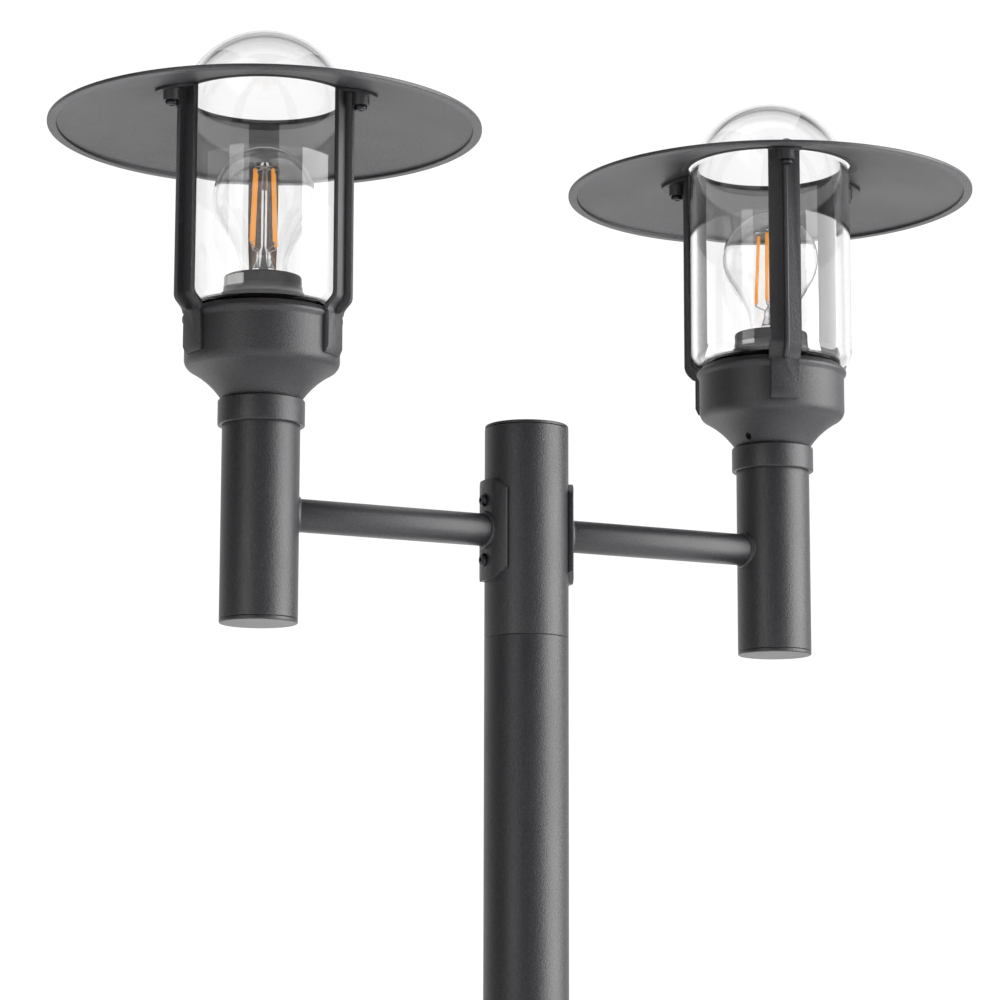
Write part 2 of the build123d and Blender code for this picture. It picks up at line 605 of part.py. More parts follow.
def pad_screw_hole(angle):
    seat = pad_screw_seat()
    shank = rod(M4_RADIUS + M4_HOLE_CLEARANCE, seat - OVER, pad_outer() - PAD_SCREW_END_WALL)
    pocket = rod(PAN_HEAD_RADIUS + SCREW_POCKET_CLEARANCE, seat - 2 * PAN_HEAD_HEIGHT, seat)
    return radial(shank + pocket, angle, -PAD_SCREW_BELOW_RIM)


def below_hat():
    """Everything that lies under the hat's sheet and its seal."""
    seal_edge = HAT_HOLE + SEAL_FLANGE + 2 * STACK_GAP
    seal_bottom = HAT_RISE - SEAL_LIP - STACK_GAP
    return turned((0, -FAR), (HAT_LIP_RADIUS, -FAR), (HAT_LIP_RADIUS, hat_underside(HAT_LIP_RADIUS)),
                  (seal_edge, hat_underside(seal_edge)), (seal_edge, seal_bottom), (0, seal_bottom))


def strut_levels():
    """Heights on a strut's outside: pad's foot, pad's top, lower end and upper end of its slant."""
    pad_top = -PAD_TOP_BELOW_RIM
    knee = pad_top + STRUT_BEND_RADIUS * math.tan(math.radians(STRUT_BEND_ANGLE / 2))
    run = (STRUT_FACE + STRUT_THICKNESS - pad_outer()) / math.tan(math.radians(STRUT_BEND_ANGLE))
    return -CUP_CREASE_BELOW_RIM + PAD_BOTTOM_ABOVE_CREASE, pad_top, knee, knee + run


def strut_flange():
    """Bent strip that runs from the cup's wall, out round the glass and up to the hat."""
    pad_bottom, pad_top, knee, elbow = strut_levels()
    shift = STRUT_THICKNESS * math.tan(math.radians(STRUT_BEND_ANGLE / 2))
    face_out = STRUT_FACE + STRUT_THICKNESS
    top = HAT_RISE + OVER
    bend = [0, STRUT_BEND_RADIUS, STRUT_BEND_RADIUS, 0, 0, STRUT_BEND_RADIUS, STRUT_BEND_RADIUS, 0]
    outline = FilletPolyline((pad_outer(), 0, pad_bottom), (pad_outer(), 0, knee), (face_out, 0, elbow),
                             (face_out, 0, top), (STRUT_FACE, 0, top), (STRUT_FACE, 0, elbow + shift),
                             (CUP_RADIUS, 0, knee + shift), (CUP_RADIUS, 0, pad_bottom), radius=bend, close=True)
    return extrude(make_face(outline), STRUT_WIDTH / 2, both=True)


def strut_rib():
    """Rib down the middle of the strip's outside, round at its bend and at its toe."""
    pad_bottom, pad_top, knee, elbow = strut_levels()
    shift = STRUT_THICKNESS * math.tan(math.radians(STRUT_BEND_ANGLE / 2))
    face_out = STRUT_FACE + STRUT_THICKNESS
    root_in = CUP_RADIUS + RIB_ROOT_DEPTH
    root_out = STRUT_FACE + RIB_ROOT_DEPTH
    top = HAT_RISE + OVER
    bend = [0, RIB_TOE_RADIUS, RIB_BEND_RADIUS, 0, 0, 0, 0]
    outline = FilletPolyline((root_in, 0, pad_top), (pad_outer() + RIB_HEIGHT, 0, pad_top),
                             (face_out + RIB_HEIGHT, 0, elbow - RIB_HEIGHT / 2), (face_out + RIB_HEIGHT, 0, top),
                             (root_out, 0, top), (root_out, 0, elbow + shift), (root_in, 0, knee + shift),
                             radius=bend, close=True)
    rib = extrude(make_face(outline), RIB_THICKNESS / 2, both=True)
    tip = face_out + RIB_HEIGHT * 0.4
    tips = [e for e in rib.edges() if e.center().X > tip and abs(e.center().Y) > RIB_EDGE]
    return chamfer(tips, RIB_EDGE)


def strut_pad():
    """Pad that lies on the cup, a little narrower than the strip, with a slanted toe."""
    pad_bottom, pad_top, knee, elbow = strut_levels()
    depth = pad_outer() - CUP_RADIUS + 2 * RIB_ROOT_DEPTH
    pad = Pos(pad_outer() - depth / 2, 0, (pad_bottom + pad_top) / 2) * Box(depth, PAD_WIDTH, pad_top - pad_bottom)
    toe_out = pad_outer() + OVER
    toe_in = pad_outer() - PAD_CHAMFER_DEPTH
    slant_top = pad_bottom + PAD_CHAMFER_HEIGHT
    toe = Polyline((toe_out, 0, pad_bottom - OVER), (toe_out, 0, slant_top), (pad_outer(), 0, slant_top),
                   (toe_in, 0, pad_bottom), (toe_in, 0, pad_bottom - OVER), close=True)
    return pad - extrude(make_face(toe), STRUT_WIDTH, both=True)


def make_strut():
    """Cast T-section strut on +X: pad on the cup, bend round the glass, lug under the hat."""
    pad_bottom, pad_top, knee, elbow = strut_levels()
    below_pad = Pos(pad_outer(), 0, pad_top - FAR / 2) * Box(FAR, 2 * STRUT_WIDTH, FAR)
    strut = strut_flange() - below_pad + strut_pad() + strut_rib()
    strut -= rod(CUP_RADIUS + RUNNING_FIT, -FAR, -CUP_TOP_BELOW_RIM)
    strut += make_lug()
    seat = hat_underside(BOSS_PLACE)
    boss_bottom = seat - LUG_THICKNESS - BOSS_HEIGHT
    strut += Pos(BOSS_PLACE, 0, 0) * rod(BOSS_RADIUS, boss_bottom, seat - BODY_GAP)
    strut -= Pos(BOSS_PLACE, 0, 0) * rod(M4_RADIUS + M4_HOLE_CLEARANCE, boss_bottom - OVER, FAR)
    strut = strut & below_hat()
    screw_hole = rod(M4_RADIUS + M4_HOLE_CLEARANCE, CUP_BORE, pad_outer() - PAD_SCREW_END_WALL)
    return strut - radial(screw_hole, 0, -PAD_SCREW_BELOW_RIM)


def make_lug():
    """Thin lug that follows the hat's slope, with a rounded outer end."""
    end = STRUT_WIDTH / 2
    inner = STRUT_FACE + STRUT_THICKNESS / 2
    plan = Pos((inner + BOSS_PLACE) / 2, 0) * Rectangle(BOSS_PLACE - inner, STRUT_WIDTH)
    plan += Pos(BOSS_PLACE, 0) * Circle(end)
    prism = extrude(plan, HAT_RISE + 5)
    far = BOSS_PLACE + STRUT_WIDTH
    near = STRUT_FACE
    slab = turned((near, hat_underside(near)), (far, hat_underside(far)),
                  (far, hat_underside(far) - LUG_THICKNESS), (near, hat_underside(near) - LUG_THICKNESS))
    return prism & slab


def make_lantern_screws():
    """Pan-head screws: up through each lug into the hat, and out through the cup into each pad."""
    head_seat = hat_underside(BOSS_PLACE) - LUG_THICKNESS - BOSS_HEIGHT
    length = HAT_SHEET + LUG_THICKNESS + BOSS_HEIGHT + CAP_NUT_HEIGHT * 0.5
    upward = Pos(BOSS_PLACE, 0, head_seat) * Rot(180, 0, 0) * pan_screw(length)
    reach = pad_outer() - PAD_SCREW_END_WALL - pad_screw_seat() - PAD_SCREW_END_GAP
    outward = Pos(pad_screw_seat(), 0, -PAD_SCREW_BELOW_RIM) * Rot(0, -90, 0) * pan_screw(reach)
    screws = []
    for angle in strut_angles():
        screws += [Rot(0, 0, angle) * upward, Rot(0, 0, angle) * outward]
    return Compound(children=screws)


def make_gasket():
    outer = CUP_BORE - GASKET_SIDE_GAP
    return ring(outer - GASKET_WIDTH + BODY_GAP, outer, GASKET_BOTTOM, GASKET_BOTTOM + GASKET_THICKNESS)


def make_glass():
    """Thick clear glass with a rounded foot and a domed crown, open at its mouth."""
    corner = -GLASS_CORNER_BELOW_RIM
    dome = GLASS_DOME_ABOVE_RIM
    bend = GLASS_CORNER_RADIUS
    inner_bend = bend - GLASS_WALL
    inner_radius = GLASS_RADIUS - GLASS_WALL
    inner_mouth = GLASS_MOUTH - GLASS_WALL
    half = math.sqrt(0.5)
    outside = Polyline((inner_mouth, 0, GLASS_BOTTOM), (GLASS_MOUTH, 0, GLASS_BOTTOM), (GLASS_MOUTH, 0, corner - bend))
    outside += ThreePointArc((GLASS_MOUTH, 0, corner - bend), (GLASS_MOUTH + bend * half, 0, corner - bend * half),
                             (GLASS_RADIUS, 0, corner))
    outside += Line((GLASS_RADIUS, 0, corner), (GLASS_RADIUS, 0, dome))
    outside += ThreePointArc((GLASS_RADIUS, 0, dome), (GLASS_RADIUS * half, 0, dome + GLASS_RADIUS * half),
                             (0, 0, dome + GLASS_RADIUS))
    inside = Line((0, 0, dome + GLASS_RADIUS), (0, 0, dome + inner_radius))
    inside += ThreePointArc((0, 0, dome + inner_radius), (inner_radius * half, 0, dome + inner_radius * half),
                            (inner_radius, 0, dome))
    inside += Line((inner_radius, 0, dome), (inner_radius, 0, corner))
    inside += ThreePointArc((inner_radius, 0, corner),
                            (GLASS_MOUTH + inner_bend * half, 0, corner - inner_bend * half),
                            (GLASS_MOUTH, 0, corner - inner_bend))
    inside += Polyline((GLASS_MOUTH, 0, corner - inner_bend), (inner_mouth, 0, corner - inner_bend),
                       (inner_mouth, 0, GLASS_BOTTOM))
    return revolve(make_face(outside + inside), Axis.Z)


# ---------------------------------------------------------------- hat
def make_hat():
    """Spun cone hat with a folded lip, a hole for the glass and three screw holes."""
    inner_top = HAT_RISE + HAT_SHEET
    outer_top = hat_underside(HAT_RADIUS) + HAT_SHEET
    hat = turned((HAT_HOLE, HAT_RISE), (HAT_LIP_RADIUS, HAT_LIP_STEP), (HAT_LIP_RADIUS, 0), (HAT_RADIUS, 0),
                 (HAT_RADIUS, outer_top), (HAT_HOLE, inner_top))
    hat = fillet(edges_near(hat, HAT_RADIUS, 0) + edges_near(hat, HAT_RADIUS, outer_top), HAT_EDGE)
    for angle in strut_angles():
        hat -= Rot(0, 0, angle) * Pos(BOSS_PLACE, 0, 0) * rod(M4_RADIUS + M4_HOLE_CLEARANCE, 0, FAR)
    return hat


def make_hat_seal():
    """Rubber edge trim round the hole, with a U section that grips the sheet."""
    low = HAT_RISE
    high = HAT_RISE + HAT_SHEET
    reach = HAT_HOLE + SEAL_FLANGE
    fall = SEAL_FLANGE * HAT_SLOPE
    trim = turned((SEAL_RADIUS, low - SEAL_LIP), (reach, low - SEAL_LIP), (reach, low - fall),
                  (HAT_HOLE, low), (HAT_HOLE, high), (reach, high - fall), (reach, high - fall + SEAL_LIP),
                  (SEAL_RADIUS, high + SEAL_LIP))
    return fillet(edges_near(trim, SEAL_RADIUS, high + SEAL_LIP), SEAL_EDGE)


def make_cap_nuts():
    """Domed nuts on top of the hat, with their seats cut to its slope."""
    seat = hat_underside(BOSS_PLACE) + HAT_SHEET
    top = seat + CAP_NUT_HEIGHT
    near = BOSS_PLACE - CAP_NUT_RADIUS - OVER
    far = BOSS_PLACE + CAP_NUT_RADIUS + OVER
    nut = rod(CAP_NUT_RADIUS, seat - CAP_NUT_HEIGHT / 2, top)
    nut = fillet(edges_near(nut, CAP_NUT_RADIUS, top), CAP_NUT_RADIUS * 0.8)
    nut = Pos(BOSS_PLACE, 0, 0) * (nut - rod(M4_RADIUS, seat - CAP_NUT_HEIGHT, seat + CAP_NUT_HEIGHT * 0.55))
    nut -= turned((near, hat_underside(near) + HAT_SHEET), (near, seat - FAR), (far, seat - FAR),
                  (far, hat_underside(far) + HAT_SHEET))
    return Compound(children=[Rot(0, 0, angle) * nut for angle in strut_angles()])


# ---------------------------------------------------------------- lampholder and bulb
def make_holder():
    top = -HOLDER_TOP_BELOW_RIM
    foot = -HOLDER_FOOT_BELOW_RIM
    floor = -CUP_FLOOR_BELOW_RIM
    eye = NIPPLE_RADIUS + RUNNING_FIT
    chamber = top - SHELL_DEPTH - SHELL_SINK
    holder = turned((eye, floor), (HOLDER_FOOT_RADIUS, floor), (HOLDER_FOOT_RADIUS, foot),
                    (HOLDER_RADIUS, foot + HOLDER_FOOT_STEP), (HOLDER_RADIUS, top), (HOLDER_BORE, top),
                    (HOLDER_BORE, chamber), (eye, chamber))
    return fillet(edges_near(holder, HOLDER_RADIUS, top), HOLDER_EDGE)


def make_shell():
    """Threaded contact shell of the lampholder, with a hole for the centre contact's wire."""
    inner = BULB_CAP_RADIUS + SHELL_CLEARANCE
    outer = inner + SHELL_WALL
    top = -HOLDER_TOP_BELOW_RIM - SHELL_SINK
    low = -HOLDER_TOP_BELOW_RIM - SHELL_DEPTH - SHELL_FLOOR_GAP
    return turned((outer, top), (outer, low), (NIPPLE_BORE, low), (NIPPLE_BORE, low + SHELL_WALL),
                  (inner, low + SHELL_WALL), (inner, top))


def make_nipple():
    """Hollow bolt that holds the lampholder on the cup's floor and leads the cable in."""
    head_low = SPIGOT_TOP + BODY_GAP - NIPPLE_HEAD_HEIGHT
    top = -CUP_FLOOR_BELOW_RIM + NIPPLE_ABOVE_FLOOR
    bolt = rod(NIPPLE_RADIUS, head_low, top)
    bolt += Pos(0, 0, head_low) * extrude(RegularPolygon(NIPPLE_HEAD_RADIUS, 6), NIPPLE_HEAD_HEIGHT)
    return bolt - rod(NIPPLE_BORE, head_low - OVER, top + OVER)


def bulb_wall(offset):
    """Outline of the pear-shaped envelope moved inwards by an offset, from crown to neck."""
    centre = -BULB_TOP_BELOW_RIM - BULB_RADIUS
    radius = BULB_RADIUS - offset
    neck = BULB_NECK_RADIUS - offset
    low = -HOLDER_TOP_BELOW_RIM + BODY_GAP
    half = math.sqrt(0.5)
    turn = math.radians(BULB_SHOULDER_ANGLE)
    joint = (radius * math.cos(turn), 0, centre + radius * math.sin(turn))
    crown = ThreePointArc((0, 0, centre + radius), (radius * half, 0, centre + radius * half), joint)
    flank = Spline(joint, (neck, 0, low + BULB_NECK_HEIGHT), tangents=[(math.sin(turn), 0, -math.cos(turn)), (0, 0, -1)])
    return crown, flank, Line((neck, 0, low + BULB_NECK_HEIGHT), (neck, 0, low))


def make_bulb_glass():
    outer = bulb_wall(0)
    inner = bulb_wall(BULB_GLASS)
    crown_top = Line(outer[0] @ 0, inner[0] @ 0)
    foot = Line(outer[2] @ 1, inner[2] @ 1)
    outline = crown_top + foot
    for piece in outer + inner:
        outline += piece
    return revolve(make_face(outline), Axis.Z)


def make_bulb_cap():
    """Screw cap: crest and root rings at the thread's pitch, then the insulator and tip."""
    top = -HOLDER_TOP_BELOW_RIM + BULB_CAP_LAP
    low = top - BULB_CAP_LENGTH
    tip = low - BULB_TIP_LENGTH
    plain = THREAD_PITCH / 2
    points = [(0, top), (BULB_CAP_RADIUS, top), (BULB_CAP_RADIUS, top - plain)]
    turns = int((BULB_CAP_LENGTH - 2 * plain) / THREAD_PITCH)
    for turn in range(turns):
        start = top - plain - turn * THREAD_PITCH
        points += [(BULB_CAP_RADIUS - THREAD_DEPTH, start - THREAD_PITCH / 2), (BULB_CAP_RADIUS, start - THREAD_PITCH)]
    points += [(BULB_CAP_RADIUS - THREAD_DEPTH, low), (BULB_CAP_RADIUS / 2, tip + BULB_TIP_LENGTH / 3),
               (BULB_CAP_RADIUS / 3, tip), (0, tip)]
    return turned(*points)


def make_bulb_stem():
    """Glass stem: flare at the neck, tube, and a thin rod with a knob that carries the filaments."""
    low = -HOLDER_TOP_BELOW_RIM + BODY_GAP + STACK_GAP
    pinch = -FILAMENT_BOTTOM_BELOW_RIM
    top = -STEM_TOP_BELOW_RIM
    under_knob = top - STEM_KNOB_HEIGHT
    bevel = STEM_KNOB_HEIGHT / 4
    return turned((0, low), (STEM_FLARE, low), (STEM_FLARE * 0.6, low + STEM_RADIUS), (STEM_RADIUS, low + STEM_FLARE),
                  (STEM_RADIUS, pinch - STEM_RADIUS), (STEM_ROD_RADIUS, pinch), (STEM_ROD_RADIUS, under_knob),
                  (STEM_KNOB_RADIUS, under_knob + bevel), (STEM_KNOB_RADIUS, top - bevel), (STEM_ROD_RADIUS, top),
                  (0, top))


def make_filaments():
    """Straight light strips round the stem, further apart at their lower ends."""
    sticks = []
    for k in range(FILAMENT_COUNT):
        angle = math.radians(FILAMENT_ANGLE + 360 / FILAMENT_COUNT * k)
        out = Vector(math.cos(angle), math.sin(angle), 0)
        top = out * FILAMENT_TOP_SPREAD + Vector(0, 0, -FILAMENT_TOP_BELOW_RIM)
        low = out * FILAMENT_BOTTOM_SPREAD + Vector(0, 0, -FILAMENT_BOTTOM_BELOW_RIM)
        sticks.append(Plane(origin=low, z_dir=top - low) * rod(FILAMENT_RADIUS, 0, (top - low).length))
    return Compound(children=sticks)


def make_cable():
    """Lamp cable: up the post, over into the arm, and up the lamp tube to the lampholder."""
    block_top = BASE_THICKNESS + TERMINAL_LEG_HEIGHT + TERMINAL_HEIGHT
    start = block_top - TERMINAL_PORT_DEPTH + CABLE_END_GAP
    end = RIM - CUP_FLOOR_BELOW_RIM + NIPPLE_ABOVE_FLOOR - CABLE_END_GAP
    route = FilletPolyline((-CABLE_OFFSET_X, -CABLE_OFFSET_Y, start), (-CABLE_OFFSET_X, -CABLE_OFFSET_Y, ARM_HEIGHT),
                           (ARM_REACH, 0, ARM_HEIGHT), (ARM_REACH, 0, end),
                           radius=CABLE_BEND_RADIUS)
    section = Plane(origin=route @ 0, z_dir=route % 0) * Circle(CABLE_RADIUS)
    return sweep(section, path=route)


# ---------------------------------------------------------------- all pieces
def common_pieces():
    return {
        "base_plate": make_base_plate(),
        "base_foot": make_foot(),
        "cable_grommet": make_grommet(),
        "lower_post": post_tube(LOWER_POST_BOTTOM, MID_SEAM),
        "post_sleeve": sleeve(MID_SEAM - SLEEVE_LENGTH / 2, MID_SEAM + SLEEVE_LENGTH / 2),
        "upper_post": post_tube(MID_SEAM, HEAD_SEAM),
        "head_sleeve": sleeve(HEAD_SEAM + HEAD_SLEEVE_ABOVE_SEAM - SLEEVE_LENGTH, HEAD_SEAM + HEAD_SLEEVE_ABOVE_SEAM),
        "head_tube": make_head_tube(),
        "post_cap": make_post_cap(),
        "post_grub_screws": make_post_grubs(),
        "saddle_screws": make_saddle_screws(),
        "terminal_block": make_terminal_block(),
    }


def side_pieces():
    """Pieces of the right side: those in post coordinates, then those about the lantern's axis."""
    lantern = Pos(ARM_REACH, 0, RIM)
    pieces = {"saddle": make_saddle(), "arm": make_arm(), "lamp_cable": make_cable()}
    about_axis = {
        "lamp_tube": make_lamp_tube(),
        "tube_cap": make_tube_cap(),
        "tube_collar": make_collar(),
        "lantern_cup": make_cup(),
        "cup_grub_screw": make_cup_grub(),
        "lantern_screws": make_lantern_screws(),
        "glass_gasket": make_gasket(),
        "glass_dome": make_glass(),
        "hat": make_hat(),
        "hat_seal": make_hat_seal(),
        "hat_cap_nuts": make_cap_nuts(),
        "lampholder": make_holder(),
        "lampholder_shell": make_shell(),
        "lampholder_bolt": make_nipple(),
        "bulb_glass": make_bulb_glass(),
        "bulb_cap": make_bulb_cap(),
        "bulb_stem": make_bulb_stem(),
        "bulb_filaments": make_filaments(),
    }
    strut = make_strut()
    for number, angle in enumerate(strut_angles(), start=1):
        about_axis[f"strut_{number}"] = Rot(0, 0, angle) * strut
    for name, shape in about_axis.items():
        pieces[name] = lantern * shape
    return pieces


def main():
    os.makedirs("parts", exist_ok=True)
    pieces = common_pieces()
    for name, shape in side_pieces().items():
        pieces["right_" + name] = shape
        pieces["left_" + name] = Rot(0, 0, 180) * shape
    turn = Pos(-ARM_REACH, 0, 0) * Rot(0, 0, LEFT_BULB_TURN) * Pos(ARM_REACH, 0, 0)
    pieces["left_bulb_filaments"] = turn * pieces["left_bulb_filaments"]
    for name, shape in pieces.items():
        export_step(shape, f"parts/{name}.step")


main()
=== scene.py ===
import math
import bpy
from bpy.props import FloatProperty, FloatVectorProperty, PointerProperty
from mathutils import Euler, Matrix, Vector


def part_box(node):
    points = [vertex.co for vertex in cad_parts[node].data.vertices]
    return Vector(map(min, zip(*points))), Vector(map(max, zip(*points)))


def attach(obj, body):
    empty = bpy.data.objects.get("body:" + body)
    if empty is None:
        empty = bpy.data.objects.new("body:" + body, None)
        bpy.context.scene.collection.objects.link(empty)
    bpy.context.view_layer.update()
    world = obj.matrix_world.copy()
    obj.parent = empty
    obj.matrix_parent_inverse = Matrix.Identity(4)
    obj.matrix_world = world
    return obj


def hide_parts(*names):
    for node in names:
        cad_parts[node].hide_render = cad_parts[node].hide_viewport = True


bl_info = {
    "name": "Twin-headed Lamp Post",
    "version": (1, 0, 0),
    "blender": (4, 5, 0),
    "location": "3D View > Sidebar > Lamp Post",
    "description": "Builds a powder-coated lamp post with two glass lanterns round its frame",
    "category": "Object",
}

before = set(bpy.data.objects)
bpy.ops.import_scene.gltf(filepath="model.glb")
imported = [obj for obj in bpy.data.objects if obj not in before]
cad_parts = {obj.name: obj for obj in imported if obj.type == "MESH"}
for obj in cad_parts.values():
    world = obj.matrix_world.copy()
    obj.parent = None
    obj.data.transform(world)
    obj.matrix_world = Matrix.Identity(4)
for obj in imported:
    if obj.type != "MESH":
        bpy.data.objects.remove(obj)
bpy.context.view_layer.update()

MM = 0.001
SIDES = {"right": 1, "left": -1}
LATHE_STEPS = 144
FINE_LATHE_STEPS = 48
ROUND_STEPS = 4

# ---- fixed shapes, in millimetres, that the frame's boxes don't give ----
RUNNING_FIT = 0.05
SLEEVE_WALL = 3.0
GRUB_HOLE_RADIUS = 2.6
GRUB_FROM_SEAM = 22.0
GRUB_ABOVE_FOOT = 45.0
GRUB_ANGLES_AT_FOOT = (30, 150, 270)
GRUB_ANGLE_AT_SEAM = 90
POST_CAP_EDGE = 0.8
POST_CAP_SEAT = 0.3
POST_CAP_SKIRT = 8.0
POST_CAP_FLOOR = 0.5
BASE_BOLT_INSET = 22.0
BASE_BOLT_HOLE_RADIUS = 5.5
BASE_EDGE = 1.5
INLET_RADIUS = 6.0
BUSH_GRIP = 2.0
BUSH_LIP = 1.5
TUBE_CAP_EDGE = 0.9
TUBE_CAP_GAP = 0.1
TUBE_CAP_SKIRT = 10.0
ARM_LAP = 4.0
COLLAR_GAP = 0.4
COLLAR_HEIGHT = 15.0
COLLAR_EDGE = 0.9
CUP_BEAD = 1.5
CUP_BEAD_TOP = 3.4
CUP_BEAD_BOTTOM = 4.9
CUP_WALL_TOP = 7.2
CUP_WALL = 3.0
CUP_CREASE = 22.3
CUP_FLOOR = 25.6
CUP_FLOOR_THICKNESS = 10.0
CUP_NECK_INSET = 2.05
CUP_SHELF = 5.0
CUP_SHOULDER_DROP = 4.8
CUP_GRUB_HOLE_RADIUS = 2.05
NIPPLE_HOLE_RADIUS = 5.05
GLASS_CORNER_HEIGHT = 16.0
GLASS_CORNER_RADIUS = 10.0
GLASS_LIP_ROUND = 0.8
HAT_BOX_MARGIN = 0.02
HAT_HOLE_GAP = 1.9
HAT_LIP_WIDTH = 5.5
HAT_LIP_STEP = 1.9
LOW_NUT_SHARE = 0.55
SEAL_FLANGE = 3.0
SEAL_WEB = 1.2
SEAL_LIP = 0.8
HOLDER_STEP = 0.8
HOLDER_BARREL = 14.5
HOLDER_BORE = 14.6
HOLDER_BORE_DEPTH = 29.0
HOLDER_ENTRY = 5.0
BULB_NECK_RADIUS = 14.2
BULB_NECK_HEIGHT = 6.0
BULB_SHOULDER_ANGLE = -32
THREAD_PITCH = 3.6
THREAD_DEPTH = 0.7
THREAD_TURNS = 5
STEM_RADIUS = 4.3
STEM_ROD_RADIUS = 1.7
STEM_KNOB_RADIUS = 2.8
STEM_KNOB_HEIGHT = 5.0
STRIP_RADIUS = 1.05
CLIP_RADIUS = 0.6
WIRE_RADIUS = 0.35


# ---- places read from the frame ----
def middle_of(node):
    """Centre of a CAD node's box, in metres."""
    low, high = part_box(node)
    return Vector([(a + b) / 2 for a, b in zip(low, high)])


def half_width(node):
    """Half the node's width along Y, in millimetres: the radius of a turned node."""
    low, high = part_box(node)
    return (high[1] - low[1]) / 2 / MM


def level(node, end):
    """Height of a node's underside (end 0) or top (end 1), in metres."""
    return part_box(node)[end][2]


def lantern_axis(side):
    centre = middle_of(f"{side}_glass_dome")
    return centre.x, centre.y


def rim_level():
    return level("right_hat", 0)


# ---- sizes and colours a user would change ----
def length_property(name, description, millimetres):
    return FloatProperty(name=name, description=description, default=millimetres * MM, unit="LENGTH",
                         precision=4)


def colour_property(name, description, code):
    return FloatVectorProperty(name=name, description=description, default=hex_to_linear(code), size=4,
                               subtype="COLOR", min=0, max=1)


def hex_to_linear(code):
    """sRGB hex code to the linear colour the shaders take."""
    channels = [int(code[i:i + 2], 16) / 255 for i in (1, 3, 5)]
    linear = [c / 12.92 if c <= 0.04045 else ((c + 0.055) / 1.055) ** 2.4 for c in channels]
    return (*linear, 1.0)


class LampPostSizes(bpy.types.PropertyGroup):
    """Small shapes that the frame's boxes don't give."""
    edge_round: length_property("Edge round", "Round on the outer edges of tubes and collars", 0.5)
    tube_wall: length_property("Tube wall", "Wall of the post and lamp tubes", 2.5)
    glass_wall: length_property("Glass wall", "Wall of the glass dome", 4.0)
    bulb_wall: length_property("Bulb wall", "Wall of the bulb's envelope", 0.5)
    sheet: length_property("Hat sheet", "Thickness of the hat's sheet", 1.6)
    weld_bead: length_property("Weld bead", "Radius of the weld beads at the arm's ends", 1.5)
    cast_edge: length_property("Cast edge", "Round on the edges of the cast struts", 0.45)
    label_width: length_property("Label width", "Width of the blank label on the left lampholder", 20.0)
    label_height: length_property("Label height", "Height of the blank label on the left lampholder", 5.8)


class LampPostFinish(bpy.types.PropertyGroup):
    """Colours and surface values of the finishes."""
    coat: colour_property("Powder coat", "Colour of the powder coat on tubes and castings", "#232225")
    # The hats' coat is set lighter than the tubes' coat: partly painted light, brightening the hats' shaded
    # undersides.
    hat: colour_property("Hat coat", "Colour of the powder coat on the hats", "#353437")
    rubber: colour_property("Rubber", "Colour of the seals and the bush", "#141415")
    holder: colour_property("Lampholder", "Colour of the lampholder's plastic", "#151517")
    filament: colour_property("Filament", "Colour of the coated light strips", "#ffb42e")
    label: colour_property("Label", "Colour of the blank label", "#e8e8e6")
    coat_roughness: FloatProperty(name="Coat roughness", description="Roughness of the powder coat",
                                  default=0.42, min=0, max=1, subtype="FACTOR")
    grain: length_property("Coat grain", "Width of the powder coat's texture", 1.1)


class LampPostStage(bpy.types.PropertyGroup):
    """Camera, floor and lights."""
    lens: FloatProperty(name="Lens", description="Camera lens in millimetres", default=117.1)
    distance_x: length_property("Camera X", "Camera place along X from the post", -862.6)
    distance_y: length_property("Camera Y", "Camera place along Y from the post", -1724.5)
    below_rim: length_property("Camera below rim", "Camera height under the hats' rims", 525.8)
    yaw: FloatProperty(name="Yaw", description="Turn of the view about the upright",
                       default=math.radians(-26.1), subtype="ANGLE")
    pitch: FloatProperty(name="Pitch", description="Upward tilt of the view", default=math.radians(9.38),
                         subtype="ANGLE")
    roll: FloatProperty(name="Roll", description="Turn of the camera about its own axis",
                        default=math.radians(0.13), subtype="ANGLE")


# ---- mesh helpers ----
def clear_selection():
    if bpy.context.mode != "OBJECT":
        bpy.ops.object.mode_set(mode="OBJECT")
    bpy.ops.object.select_all(action="DESELECT")


def pick(*pieces):
    """Selects only these pieces and makes the last one active."""
    clear_selection()
    for piece in pieces:
        piece.select_set(True)
    bpy.context.view_layer.objects.active = pieces[-1]


def settle(piece, angle=30):
    """Puts a piece's place into its mesh and smooths its faces up to an angle in degrees."""
    pick(piece)
    bpy.ops.object.transform_apply(location=True, rotation=True, scale=True)
    bpy.ops.object.shade_smooth_by_angle(angle=math.radians(angle))
    return piece


def named(piece, name):
    piece.name = name
    piece.data.name = name
    return piece


def joined(name, pieces):
    """Several pieces as one object."""
    pick(*pieces)
    if len(pieces) > 1:
        bpy.ops.object.join()
    return named(bpy.context.object, name)


def apply_modifier(piece, kind, **settings):
    modifier = piece.modifiers.new(kind.title(), kind)
    for key, value in settings.items():
        setattr(modifier, key, value)
    pick(piece)
    bpy.ops.object.modifier_apply(modifier=modifier.name)


def outline(*corners):
    """Outline in millimetres from (radius, height) corners; a third value rounds that corner."""
    points = []
    for index, corner in enumerate(corners):
        here = Vector(corner[:2])
        radius = corner[2] if len(corner) > 2 else 0
        if not radius:
            points.append(here)
            continue
        back = (Vector(corners[index - 1][:2]) - here).normalized()
        ahead = (Vector(corners[(index + 1) % len(corners)][:2]) - here).normalized()
        half_turn = back.angle(ahead) / 2
        centre = here + (back + ahead).normalized() * radius / math.sin(half_turn)
        start = here + back * radius / math.tan(half_turn) - centre
        end = here + ahead * radius / math.tan(half_turn) - centre
        reach = start.length
        for step in range(ROUND_STEPS + 1):
            points.append(centre + start.slerp(end, step / ROUND_STEPS).normalized() * reach)
    return points


